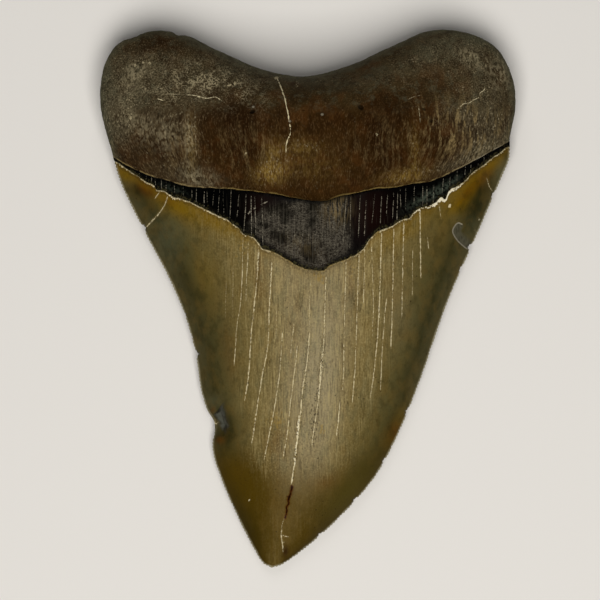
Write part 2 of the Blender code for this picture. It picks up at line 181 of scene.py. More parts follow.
CRACK_WIDTH, CRACK_DEPTH = 0.16, 0.1
BAND_CRACK_EASE = 0.75  # the band's cracks are this much shallower
BAND_BLEND = 0.2  # from this far outside the band's borders to this far inside them
CRACK_BEND = 0.07  # how far a crack strays from its line
CRACK_SEEDS = (20.5, 3.1)  # the first crack's seed, and the step from crack to crack
# A crack's strength varies along it: the mean, the swing, the length of the swells, the least.
CRACK_MEAN, CRACK_SWING, CRACK_SWELL, CRACK_LEAST = 0.8, 0.6, 3.5, 0.15
CRACK_END = (-0.2, 0.7)  # the strength comes in over this length from an end
# Cracks of the lingual face, the last of them a painted highlight: strength, then the points of the
# line.
CROWN_CRACKS = [
    (0.6, [(-14.4, 14.1), (-14.9, -0.2), (-15.7, -5.3), (-16.4, -14.9)]),
    (0.5, [(-13.2, 13.0), (-13.8, -0.6)]),
    (0.95, [(-10.9, 11.9), (-11.2, 5.6), (-12.5, -7.1), (-13.4, -18.4), (-14.2, -22.9)]),
    (0.95, [(-8.0, 8.3), (-8.5, -0.2), (-8.9, -10.0), (-10.3, -17.8), (-12.0, -28.9), (-12.5, -32.5)]),
    (0.35, [(-6.9, -0.8), (-7.1, -9.1)]),
    (0.7, [(-5.6, -7.1), (-6.2, -15.3), (-7.0, -21.3), (-8.7, -30.5), (-9.8, -35.8)]),
    (0.5, [(-3.1, -5.3), (-4.0, -13.3)]),
    (0.8, [(-2.3, -10.2), (-3.9, -23.3), (-4.9, -32.0), (-5.6, -35.6)]),
    (1.0, [(0.4, -7.1), (-0.2, -13.3), (-1.3, -21.3), (-2.2, -30.5), (-3.1, -36.7), (-3.8, -41.6)]),
    (1.7, [(-1.9, -25.5), (-2.45, -31.0), (-3.05, -36.7), (-3.6, -41.0)]),
    (0.5, [(-5.0, -47.9), (-5.6, -49.6), (-5.9, -51.0)]),
    (0.9, [(-5.8, -50.8), (-6.0, -52.4), (-5.7, -54.6), (-5.6, -56.6)]),
    (0.6, [(-5.9, -52.4), (-5.1, -52.9), (-4.2, -53.0)]),
    (0.6, [(-5.8, -54.4), (-5.1, -54.1)]),
    (0.7, [(4.0, 5.4), (3.3, -12.4), (2.5, -20.7), (2.0, -24.2), (0.8, -32.7)]),
    (0.3, [(0.6, 4.0), (0.3, -2.0), (0.4, -7.1)]),
    (1.2, [(3.1, -11.5), (2.8, -15.0), (2.7, -18.0), (2.2, -23.0)]),
    (0.5, [(8.5, 8.9), (8.2, 0.0), (8.0, -9.7)]),
    (0.8, [(8.0, -9.7), (7.7, -20.2)]),
    (0.9, [(7.1, -22.5), (6.3, -31.2)]),
    (0.6, [(11.4, 10.5), (10.9, -0.6), (10.5, -12.9), (9.8, -23.3)]),
    (0.5, [(12.5, 11.4), (12.3, -1.3)]),
    (0.45, [(14.0, 12.1), (14.5, -1.3), (14.3, -8.4)]),
    (0.9, [(16.3, 15.0), (15.8, -1.3), (15.3, -10.0), (13.8, -22.5)]),
    (0.55, [(17.4, 0.3), (16.7, -8.0), (16.1, -20.4)]),
    (0.8, [(19.0, 16.0), (18.7, -1.3), (18.4, -11.1)]),
    (0.75, [(21.2, 17.2), (20.8, -4.2)]),
    (0.5, [(23.2, 11.4), (23.2, 0.7)]),
    (0.9, [(24.8, 19.5), (25.1, 4.5)]),
    (0.4, [(26.5, 13.9), (26.8, 11.0)]),
    (0.45, [(29.0, 21.3), (29.7, 17.5)]),
    (0.25, [(-16.6, 7.2), (-16.7, -4.4)]),
    (0.25, [(-18.1, 4.3), (-18.4, -4.4)]),
    (0.2, [(-22.0, 10.8), (-22.1, 7.4)]),
    (1.0, [(-31.1, 23.1), (-31.6, 21.5), (-32.7, 19.6), (-34.5, 17.7), (-36.2, 16.0)]),
    (0.8, [(-32.9, 23.9), (-34.2, 22.2)]),
    (0.8, [(39.7, 27.2), (40.4, 25.3), (41.2, 24.0)]),
    # not a crack: a painted highlight along small lit facets of the broken edge, drawn as a pale crack
    # line, groove included
    (0.5, [(-20.9, -26.4), (-20.7, -27.9), (-19.7, -27.2)]),
]
ROOT_CRACKS = [
    (0.8, [(-7.0, 49.2), (-5.8, 46.2), (-4.9, 43.1), (-4.2, 39.5), (-3.9, 36.8), (-4.7, 34.6),
          (-4.9, 32.2)]),
    (0.3, [(-31.6, 45.6), (-29.4, 45.3), (-27.0, 45.3)]),
    (0.65, [(-27.2, 45.2), (-25.7, 45.1), (-22.3, 44.4), (-20.3, 44.6), (-18.9, 43.7)]),
    (0.7, [(-33.4, 44.4), (-31.9, 43.9)]),
    (0.5, [(32.9, 42.4), (33.4, 42.3), (34.3, 43.3), (35.4, 43.4), (36.7, 44.2), (37.9, 44.9),
          (38.1, 45.8), (38.7, 46.1), (39.4, 47.0)]),
    (0.35, [(37.7, 44.8), (38.7, 44.6)]),
    (0.3, [(21.6, 43.9), (23.4, 44.7), (25.2, 45.2)]),
    (0.35, [(24.4, 42.7), (24.8, 38.8)]),
    (0.25, [(-25.0, 42.0), (-24.9, 37.0), (-24.6, 31.5)]),
]
GAP_CRACK = [(-3.6, -41.6), (-4.0, -43.6), (-4.5, -44.8), (-4.3, -45.5), (-4.9, -46.3), (-4.7, -47.0),
             (-5.1, -48.6)]  # where the main crack is open and dark
GAP_WIDTH, GAP_DEPTH, GAP_END = 0.18, 0.4, 1.5  # it deepens over GAP_END from its ends

# Near-upright cracks drawn at random. Their reach is the range of where they start and the range
# of where they stop, as shares of the way from the lower to the upper line. Their step is the
# least and the most between two of them.
CRACK_LEAN = (-0.03, 0.08)  # to the right, as a share of that way
CRACK_STRENGTHS = (0.35, 1.0)
BAND_CRACKS = {"span": (-41.0, 41.0), "step": (0.8, 2.0), "reach": ((0.0, 0.35), (0.85, 1.0)),
               "seed": 11}
BAND_FAINT_SPAN, BAND_FAINT = (-9.0, 7.0), 0.35  # over the dull patch they are this share as strong
LABIAL_CRACKS = {"span": (-28.0, 30.0), "step": (2.5, 6.0), "reach": ((0.2, 0.75), (0.6, 1.0)),
                 "seed": 23}
LABIAL_CRACK_LOW, LABIAL_CRACK_SIDE = -38.0, 0.85  # their lower line, and how far across they may be

# ---- How finely it is drawn ----

CURVE_STEP, LINE_STEP, ROOT_RIM_STEP = 0.1, 0.3, 0.5  # along curves, across the tooth, round the root
POINTS_PER_BEAD = 6
UPPER_SPACING, LOWER_SPACING = 0.42, 0.62  # of each face's points, where it is smooth
# Rows of points where a face bends: how far inside the edge, above a line or beside a crack.
CROWN_ROWS = ((0.13, 0.16), (0.3, 0.2), (0.6, 0.3), (1.0, 0.4))  # distance inside the edge, step
ROOT_ROWS = ((0.12, 0.4), (0.35, 0.4), (0.8, 0.45))
LIP_ROWS = (-0.15, 0.06, 0.2, 0.45, 0.85, 1.3)
LEDGE_ROWS = (-0.5, -0.25, -0.12, 0.12)
CRACK_ROWS = (-1.0, 0.0, 1.0)  # in crack widths
CRACK_STEP = 0.36
CHIP_ROWS = (-0.15, 0.0, 0.12, 0.3)
RING_SHARES = (0.3, 0.55, 0.75, 0.88, 1.0, 1.12)  # of an oval's size, with a ring of points at each
RING_LEAST, RING_DENSITY = 8, 5.0 / UPPER_SPACING  # points in a ring: at least, and by its half axes
SCAR_PATCH_REACH, SCAR_PATCH_STEP = 4.2, 0.2  # the square of fine points over the broken edge
RIM_GAP = 0.07  # no other point is nearer to the outline
FILL_GAP = 0.6  # a smooth face's points keep this share of their spacing to all others
MERGE = 0.004  # points nearer to each other than this become one
SHARP_ANGLE = 70.0  # faces that meet at more than this are shaded apart


class Oval(NamedTuple):
    """An oval place on the tooth, and how much of something is there."""

    x: float
    y: float
    length: float  # from its middle to its end
    width: float  # from its middle to its side
    amount: float = 1.0
    turn: float = 0.0


def smooth_curve(points):
    """A centripetal Catmull-Rom curve through the points, as many short straight runs."""
    p = np.array(points, float)
    p = np.vstack([2 * p[0] - p[1], p, 2 * p[-1] - p[-2]])
    runs = []
    for a, b, c, d in zip(p, p[1:], p[2:], p[3:]):
        k = np.cumsum([0.0] + [np.linalg.norm(q - r) ** 0.5 for q, r in ((b, a), (c, b), (d, c))])
        count = max(2, round(np.linalg.norm(c - b) / CURVE_STEP))
        t = np.linspace(k[1], k[2], count, endpoint=False)[:, None]
        ab = ((k[1] - t) * a + (t - k[0]) * b) / (k[1] - k[0])
        bc = ((k[2] - t) * b + (t - k[1]) * c) / (k[2] - k[1])
        cd = ((k[3] - t) * c + (t - k[2]) * d) / (k[3] - k[2])
        abc = ((k[2] - t) * ab + (t - k[0]) * bc) / (k[2] - k[0])
        bcd = ((k[3] - t) * bc + (t - k[1]) * cd) / (k[3] - k[1])
        runs.append(((k[2] - t) * abc + (t - k[1]) * bcd) / (k[2] - k[1]))
    return np.vstack(runs + [p[-2:-1]])


def lengths(line):
    """How far along a line each of its points is."""
    return np.r_[0.0, np.cumsum(np.linalg.norm(np.diff(line, axis=0), axis=1))]


def along(line, step):
    """Points spread evenly along a line, at about this step, ends included."""
    length = lengths(line)
    at = np.linspace(0.0, length[-1], max(2, round(length[-1] / step) + 1))
    return np.column_stack([np.interp(at, length, line[:, 0]), np.interp(at, length, line[:, 1])])


def normals(line):
    """The unit normal at each point of a line, to the left of its direction."""
    ahead = np.gradient(line, axis=0)
    ahead /= np.linalg.norm(ahead, axis=1)[:, None]
    return np.column_stack([-ahead[:, 1], ahead[:, 0]])


def ease(start, end, value):
    """0 at start, 1 at end, and a smooth step between, whichever of them is the larger."""
    share = np.clip((value - start) / (end - start), 0.0, 1.0)
    return share * share * (3.0 - 2.0 * share)


def quarter_round(share):
    """The rise of a quarter circle: 0 at 0, and 1 from 1 on."""
    return np.sqrt(1.0 - (1.0 - np.clip(share, 0.0, 1.0)) ** 2)


def turned(u, v, degrees):
    """A vector turned counter-clockwise."""
    angle = np.radians(degrees)
    return u * np.cos(angle) - v * np.sin(angle), u * np.sin(angle) + v * np.cos(angle)


def wobble(points, size, seed, stretch=1.0):
    """Smooth noise, mostly from -0.6 to 0.6, in swells of this size drawn out along Y by stretch."""
    x, y = points.T
    at = np.column_stack([x / size, y / (size * stretch), np.full(len(x), seed)])
    return np.array([noise.noise(p) for p in at.tolist()])


def uneven(points, layers):
    """The sum of layers of noise. Each is a height, and then what wobble takes."""
    return sum(height * wobble(points, *layer) for height, *layer in layers)


def jostled(points, reach, size, seed):
    """The points moved about by smooth noise."""
    moves = [wobble(points, size, seed), wobble(points, size, seed + 2)]
    return points + reach * np.column_stack(moves)


def tree_of(points):
    """A tree that finds the nearest of these points."""
    tree = kdtree.KDTree(len(points))
    for index, (x, y) in enumerate(points):
        tree.insert((x, y, 0.0), index)
    tree.balance()
    return tree


def nearest(tree, points):
    """Which of a tree's points is the nearest to each of these, and how far it is."""
    flat = np.column_stack([points, np.zeros(len(points))])
    found = [tree.find(p)[1:] for p in flat.tolist()]
    index, distance = np.array(found).T
    return index.astype(int), distance


class Curves:
    """Curves over the tooth that can be asked for the nearest of their samples to any point."""

    def __init__(self, lines, strengths=None):
        runs = [along(line, CURVE_STEP) for line in lines]
        counts = [len(run) for run in runs]
        self.lines = lines
        self.points = np.vstack(runs)
        self.normals = np.vstack([normals(run) for run in runs])
        self.lengths = np.concatenate([lengths(run) for run in runs])
        self.ends = np.concatenate([np.minimum(lengths(run), lengths(run[::-1])[::-1]) for run in runs])
        self.strengths = np.repeat(strengths or np.ones(len(runs)), counts)
        self.tree = tree_of(self.points)

    def nearest(self, points):
        """The nearest sample to each point, how far left of it the point is, and how far past it."""
        index, _ = nearest(self.tree, points)
        offset, normal = points - self.points[index], self.normals[index]
        side = (offset * normal).sum(1)
        past = np.abs(offset[:, 0] * normal[:, 1] - offset[:, 1] * normal[:, 0])
        return index, side, np.maximum(past - CURVE_STEP / 2, 0.0)

    def distance(self, points):
        """How far each point is from the nearest curve, and which sample is the nearest."""
        index, side, past = self.nearest(points)
        return np.hypot(side, past), index


def ragged(line, reach, seed):
    """A line across the tooth with small uneven steps, sampled as the mesh is."""
    line = along(smooth_curve(line), LINE_STEP)
    line[:, 1] += reach * uneven(line, ((1.0, 2.3, seed), (0.6, 0.7, seed + 9)))
    return line


LEFT, RIGHT, ROOT = (smooth_curve(line) for line in (LEFT_EDGE, RIGHT_EDGE, ROOT_EDGE))
MARGIN = ragged(ROOT_MARGIN, reach=0.12, seed=3.5)
LINGUAL_LINE = ragged(LINGUAL_ENAMEL, reach=0.28, seed=5.5)
LABIAL_LINE = ragged(LABIAL_ENAMEL, reach=0.35, seed=7.5)
OUTLINE = Curves([RIGHT, ROOT, LEFT])
ROOT_CURVE = Curves([ROOT])
CUTTING = Curves([RIGHT, LEFT])
CHIP_LINE = smooth_curve(CHIP_RIM)
CHIP_CURVE = Curves([CHIP_LINE])


def profile(points):
    """A smooth height along the tooth as a function of y."""
    line = smooth_curve(points)
    return lambda y: np.interp(y, line[:, 0], line[:, 1])


rim_height, crown_ridge, crown_floor = map(profile, (RIM_HEIGHT, CROWN_RIDGE, LABIAL_FLOOR))


def above(points, line):
    """How far each point is above a line across the tooth."""
    return points[:, 1] - np.interp(points[:, 0], *line.T)


def across(points):
    """Where a point is across the crown: -1 on the left edge, 0 midway and 1 on the right edge."""
    x, y = points.T
    left = np.interp(y, LEFT[::-1, 1], LEFT[::-1, 0])
    right = np.interp(y, RIGHT[:, 1], RIGHT[:, 0])
    return np.clip((2 * x - left - right) / np.maximum(right - left, LEAST_WIDTH), -1.0, 1.0)


# ---- Cracks ----


def bent(points, seed):
    """A crack's line through its points, straying a little to either side."""
    line = along(smooth_curve(points), CRACK_STEP)
    stray = CRACK_BEND * uneven(line, ((1.0, 1.6, seed), (1.0, 5.0, seed + 4)))
    return line + normals(line) * stray[:, None]


def upright_cracks(low, high, span, step, reach, seed):
    """Near-upright cracks between two lines across the tooth, as (strength, points)."""
    rng = np.random.default_rng(seed)
    cracks = []
    x = span[0]
    while x < span[1]:
        bottom, top = np.interp(x, *low.T), np.interp(x, *high.T)
        start, stop = rng.uniform(*reach[0]), rng.uniform(*reach[1])
        lean = rng.uniform(*CRACK_LEAN) * (top - bottom)
        ends = [(x, bottom + start * (top - bottom)), (x + lean, bottom + stop * (top - bottom))]
        cracks.append((rng.uniform(*CRACK_STRENGTHS), ends))
        x += rng.uniform(*step)
    return cracks


def band_cracks():
    """The fine cracks of the dark band, fainter over its dull patch."""
    low, high = BAND_FAINT_SPAN
    return [(strength * (BAND_FAINT if low < ends[0][0] < high else 1.0), ends)
            for strength, ends in upright_cracks(LINGUAL_LINE, MARGIN, **BAND_CRACKS)]


def labial_cracks():
    """The cracks of the labial enamel, clear of the cutting edges."""
    bottom = np.array([(x, LABIAL_CRACK_LOW) for x in LABIAL_CRACKS["span"]])
    return [(strength, ends) for strength, ends in upright_cracks(bottom, LABIAL_LINE, **LABIAL_CRACKS)
            if np.abs(across(np.array(ends))).max() < LABIAL_CRACK_SIDE]


def crack_curves(cracks):
    """The bent lines of these cracks, with their strengths."""
    seed, step = CRACK_SEEDS
    lines = [bent(points, seed + step * number) for number, (_, points) in enumerate(cracks)]
    return Curves(lines, [strength for strength, _ in cracks])


UPPER_CRACKS = crack_curves(CROWN_CRACKS + ROOT_CRACKS + band_cracks())
LOWER_CRACKS = crack_curves(labial_cracks())
GAP = Curves([bent(GAP_CRACK, seed=2.5)])


def crack_marks(points, cracks):
    """How far each point is from a crack, and how strong that crack is there."""
    distance, index = cracks.distance(points)
    fitful = CRACK_MEAN + CRACK_SWING * wobble(cracks.points[index], CRACK_SWELL, seed=8.5)
    strength = cracks.strengths[index] * np.clip(fitful, CRACK_LEAST, 1.0)
    return distance, strength * ease(*CRACK_END, cracks.ends[index])


# ---- Heights ----


def lumps(x, y):
    """The low swells of the root's surface, between -1 and 1."""
    return (
        np.sin(0.61 * x + 1.3 * np.sin(0.37 * y)) * np.sin(0.53 * y + 0.9)
        + 0.6 * np.sin(1.13 * x - 0.71 * y + 2.0) * np.sin(0.31 * x + 0.97 * y)
    ) / 1.6


def oval_shares(points, places):
    """For each oval, its amount and how far out in it each point is: 0 in its middle, 1 on its rim."""
    for oval in (Oval(*place) for place in places):
        u, v = turned(points[:, 0] - oval.x, points[:, 1] - oval.y, -oval.turn)
        yield oval.amount, np.hypot(u / oval.length, v / oval.width)


def hollow(points, places):
    """The depth of the nutrient holes at each point, negative on knobs."""
    return sum(depth * ease(*HOLLOW_RIM, share) for depth, share in oval_shares(points, places))


def chip_share(points):
    """1 just inside the chip's sharp rim, and less towards the cutting edge."""
    _, side, past = CHIP_CURVE.nearest(points)
    return ease(*CHIP_EDGE, side) * ease(*CHIP_REACH, side) * ease(CHIP_END, 0.0, past)


def scar_flakes(points):
    """The depth of each flake of the broken edge at each point, one row a flake."""
    offset = jostled(points, *FLAKE_STRAY) - SCAR
    ahead = np.column_stack(turned(1.0, 0.0, FLAKE_TURN))
    return FLAKE_SLOPE[:, None] * (FLAKE_END[:, None] - ahead @ offset.T)


def scar(points):
    """The depth of the broken edge: flakes that meet at ridges."""
    return np.clip(scar_flakes(points).min(axis=0), 0.0, SCAR_DEPTH)


def scar_light(points):
    """How light the flake at each point is painted: painted light and shade on the broken edge's
    facets.
    """
    return FLAKE_PAINTED_LIGHT[scar_flakes(points).argmin(axis=0)]


def grooves(points):
    """The depth of the grooves between the beads of the cutting edges."""
    index, side, _ = CUTTING.nearest(points)
    bead = np.abs(np.sin(np.pi * CUTTING.lengths[index] / BEAD_PITCH))
    return GROOVE_DEPTH * (1.0 - bead) * ease(BEAD_REACH, 0.0, np.abs(side))


def crack_relief(points, cracks):
    """The depth of the cracks at each point."""
    distance, strength = crack_marks(points, cracks)
    return CRACK_DEPTH * strength * (1.0 - np.clip(distance / CRACK_WIDTH, 0.0, 1.0))


def gap_relief(points):
    """The depth of the stretch of crack that is open."""
    distance, index = GAP.distance(points)
    return GAP_DEPTH * ease(0.0, GAP_END, GAP.ends[index]) * ease(*HOLLOW_RIM, distance / GAP_WIDTH)


def crown_top(points):
    """The lingual face of the crown: a dome between the cutting edges."""
    low = rim_height(points[:, 1])
    dome = 1.0 - np.abs(across(points)) ** DOME_POWER
    return low + (crown_ridge(points[:, 1]) - low) * dome


def root_top(points):
    """The lingual face of the root: up from the lip to the crease, and down to the lobes' tops."""
    x, y = points.T
    margin = np.interp(x, *MARGIN.T)
    lobe = np.minimum(np.abs(x) / LOBE_X, LOBE_LIMIT)
    crease = CREASE_HEIGHT - CREASE_FALL * lobe**CREASE_POWER
    lip = ROOT_STEP * (1.0 - LIP_FADE * lobe**2)
    seat = crown_top(np.column_stack([x, margin])) + lip
    rise = np.clip((y - margin) / (CREASE_Y - margin), 0.0, 1.0)
    past = CREASE_SOFTNESS * np.log1p(np.exp((y - CREASE_Y) / CREASE_SOFTNESS))
    slope = SLOPE_MIDDLE + (SLOPE_LOBE - SLOPE_MIDDLE) * np.minimum(lobe, 1.0)
    height = seat + (crease - seat) * (1.0 - (1.0 - rise) ** 2) - slope * past
    over = y - margin
    height -= lip * (1.0 - quarter_round(over / STEP_ROUND))
    edge = quarter_round(ROOT_CURVE.distance(points)[0] / UPPER_ROUND)
    edge = 1.0 + (edge - 1.0) * ease(0.0, ROUND_BLEND, over)
    low = rim_height(y)
    swell = LUMP_HEIGHT * lumps(x, y) * ease(*LUMP_BLEND, over)
    return low + (height - low + swell + root_relief(points, over)) * edge


def root_relief(points, over):
    """The bone's own surface: knobbly above the crease, and drawn out into strands below it."""
    at = np.column_stack([strand_x(points), points[:, 1]])
    strands = uneven(at, STRAND_LAYERS) + uneven(points, STRAND_GRAIN)
    knobs = uneven(points, KNOB_LAYERS)
    return (strands + (knobs - strands) * over_crease(points)) * ease(*RELIEF_BLEND, over)


def over_crease(points):
    """0 below the crease of the root, and 1 above it."""
    return ease(-CREASE_BLEND, CREASE_BLEND, points[:, 1] - CREASE_Y)


def strand_x(points):
    """X, bent so that the lines along which it is constant follow the lobes' sides."""
    x, y = points.T
    return x * (1.0 + STRAND_SPREAD * ((y - STRAND_MIDDLE) / STRAND_HALF) ** 2)


def lingual(points):
    """The height of the upper face."""
    over_enamel, over_margin = above(points, LINGUAL_LINE), above(points, MARGIN)
    crown = crown_top(points) + uneven(points, ENAMEL_FOLDS) - CHIP_DEPTH * chip_share(points)
    crown -= BAND_STEP * ease(*LEDGE_RISE, over_enamel) + grooves(points) + scar(points)
    top = np.where(over_margin > 0.0, root_top(points), crown)
    in_band = ease(-BAND_BLEND, BAND_BLEND, over_enamel) * ease(BAND_BLEND, -BAND_BLEND, over_margin)
    cracks = crack_relief(points, UPPER_CRACKS) * (1.0 - BAND_CRACK_EASE * in_band)
    return top - hollow(points, LINGUAL_HOLLOWS) - cracks - gap_relief(points)


def labial(points):
    """The height of the lower face, which is flat at 0 where the tooth touches the surface."""
    x, y = points.T
    low = rim_height(y)
    crown = crown_floor(y) + (low - crown_floor(y)) * np.abs(across(points)) ** LENS_POWER
    dish = ROOT_DISH * (1.0 - (x / LOBE_FLAT_X) ** 2)
    edge = quarter_round(ROOT_CURVE.distance(points)[0] / LOWER_ROUND)
    root = low + (np.maximum(dish, FLAT_SINK) - low) * edge
    over = above(points, LABIAL_LINE)
    ledge = LABIAL_STEP * ease(*LEDGE_RISE, over) * ease(LEDGE_WIDTH, 0.0, over)
    swell = LUMP_HEIGHT * (0.5 + 0.5 * lumps(y, x)) * ease(*LUMP_BLEND, over) * edge
    relief = (ledge + swell) * ease(*LEDGE_END, np.abs(x))
    bone = np.maximum(uneven(points, LABIAL_BUMPS), 0.0) * ease(0.0, BUMP_BLEND, over)
    face = crown + (root - crown) * ease(*LABIAL_BLEND, over) + relief + bone
    face += hollow(points, LABIAL_HOLLOWS) + grooves(points) + crack_relief(points, LOWER_CRACKS)
    return np.maximum(face, 0.0)


# ---- The mesh ----


def nicks(points):
    """How far the nicks set the outline in at each of its points."""
    away = [np.linalg.norm(points - (x, y), axis=1) / width for x, y, width, _ in NICKS]
    return sum(depth * np.exp(-(share**2)) for share, (*_, depth) in zip(away, NICKS))


def set_in(points, depth):
    """An edge set in by this depth at each of its points and by the nicks, but not at its ends."""
    at = lengths(points)
    fade = ease(0.0, EDGE_FADE, at) * ease(0.0, EDGE_FADE, at[-1] - at)
    return points + normals(points) * ((depth + nicks(points)) * fade)[:, None]


def serrated(line):
    """A cutting edge: round beads with sharp notches between, slower waves and nicks."""
    points = along(line, BEAD_PITCH / POINTS_PER_BEAD)
    beads = BEAD_DEPTH * (1.0 - np.abs(np.sin(np.pi * lengths(points) / BEAD_PITCH)))
    waves = np.abs(uneven(points, SCALLOP_LAYERS)) * ease(*SCALLOP_BLEND, points[:, 1])
    return set_in(points, (beads + waves) * ease(*SCAR_BARE, np.linalg.norm(points - SCAR, axis=1)))


def rippled(line):
    """The root's edge, with low uneven waves and nicks."""
    points = along(line, ROOT_RIM_STEP)
    return set_in(points, uneven(points, RIPPLE_LAYERS))


def outline():
    """The closed outline, counter-clockwise from the tip."""
    return np.vstack([edge[:-1] for edge in (serrated(RIGHT), rippled(ROOT), serrated(LEFT))])


def beside(line, step, gaps):
    """Rows of points along a line at these distances to its left."""
    line = along(line, step)
    return np.vstack([line + normals(line) * gap for gap in gaps])


def edge_rows():
    """Rows of points just inside the outline, where the faces curve most."""
    rows = [beside(edge, step, (gap,)) for edge in (LEFT, RIGHT) for gap, step in CROWN_ROWS]
    rows += [beside(ROOT, step, (gap,)) for gap, step in ROOT_ROWS]
    return np.vstack(rows)


def rings(places):
    """Rings of points in and around ovals."""
    points = []
    for oval, share in product((Oval(*place) for place in places), RING_SHARES):
        count = max(RING_LEAST, round(RING_DENSITY * share * (oval.length + oval.width)))
        angle = np.linspace(0.0, 2 * np.pi, count, endpoint=False)
        u, v = share * oval.length * np.cos(angle), share * oval.width * np.sin(angle)
        points.append(np.column_stack(turned(u, v, oval.turn)) + (oval.x, oval.y))
    return np.vstack(points)


def crack_rows(lines, width=CRACK_WIDTH):
    """Rows of points in the middle of each crack and along both its edges."""
    return np.vstack([beside(line, CRACK_STEP, np.multiply(CRACK_ROWS, width)) for line in lines])


def scar_patch():
    """A fine patch of points over the broken edge."""
    reach = np.arange(-SCAR_PATCH_REACH, SCAR_PATCH_REACH, SCAR_PATCH_STEP)
    u, v = np.meshgrid(reach, reach)
    return np.column_stack([u.ravel(), v.ravel()]) + SCAR


def lattice(loop, spacing):
    """A triangular lattice over the box of the outline."""
    (x0, y0), (x1, y1) = loop.min(0), loop.max(0)
    x, y = np.meshgrid(np.arange(x0, x1, spacing), np.arange(y0, y1, spacing * np.sin(np.pi / 3)))
    x[::2] += spacing / 2
    return np.column_stack([x.ravel(), y.ravel()])


def inset(points):
    """How far each point is inside the smooth outline, negative outside it."""
    index, side, _ = OUTLINE.nearest(points)
    distance = np.linalg.norm(points - OUTLINE.points[index], axis=1)
    return np.where(side > 0.0, distance, -distance)


def clear_of(points, others, gap):
    """The points that are further than this gap from all the others."""
    return points[nearest(tree_of(others), points)[1] > gap]


def within(points, loop, gap):
    """The points inside the outline that keep this gap to it, notches and nicks included."""
    return clear_of(points[inset(points) > gap], loop, gap)


def interior(loop, features, spacing):
    """The points that a face is drawn through: its features', and a lattice where there is room."""
    features = within(features, loop, RIM_GAP)
    fill = within(lattice(loop, spacing), loop, FILL_GAP * spacing)
    return np.vstack([features, clear_of(fill, features, FILL_GAP * spacing)])


def triangulate(loop, lines, features, spacing):
    """Triangles over the outline with edges along it and along the lines: points and corners."""
    lines = [within(line, loop, 2 * RIM_GAP) for line in lines]
    chains = [loop] + lines
    starts = np.cumsum([0] + [len(chain) for chain in chains])
    edges = [(i, (i + 1) % len(loop)) for i in range(len(loop))]
    for chain, start in zip(lines, starts[1:]):
        edges += [(start + i, start + i + 1) for i in range(len(chain) - 1)]
    points = np.vstack(chains + [interior(loop, np.vstack(features), spacing)])
    flat = [Vector(p) for p in points.tolist()]
    cut, _, triangles, _, _, _ = delaunay_2d_cdt(flat, edges, [], 1, MERGE)
    return np.array(cut, float), np.array(triangles)


def upper_sheet(loop):
    """The triangles of the lingual face, seen from above."""
    features = [edge_rows(), crack_rows(UPPER_CRACKS.lines),
                crack_rows([smooth_curve(GAP_CRACK)], GAP_WIDTH),
                beside(MARGIN, LINE_STEP, LIP_ROWS), beside(LINGUAL_LINE, LINE_STEP, LEDGE_ROWS),
                beside(CHIP_LINE, LINE_STEP, CHIP_ROWS), rings(LINGUAL_HOLLOWS + CRUSTS), scar_patch()]
    return triangulate(loop, [MARGIN, LINGUAL_LINE], features, UPPER_SPACING)


def lower_sheet(loop):
    """The triangles of the labial face, seen from above."""
    features = [edge_rows(), crack_rows(LOWER_CRACKS.lines), beside(LABIAL_LINE, LINE_STEP, LEDGE_ROWS),
                rings(LABIAL_HOLLOWS)]
    return triangulate(loop, [LABIAL_LINE], features, LOWER_SPACING)


# ---- What the materials are told about each point ----

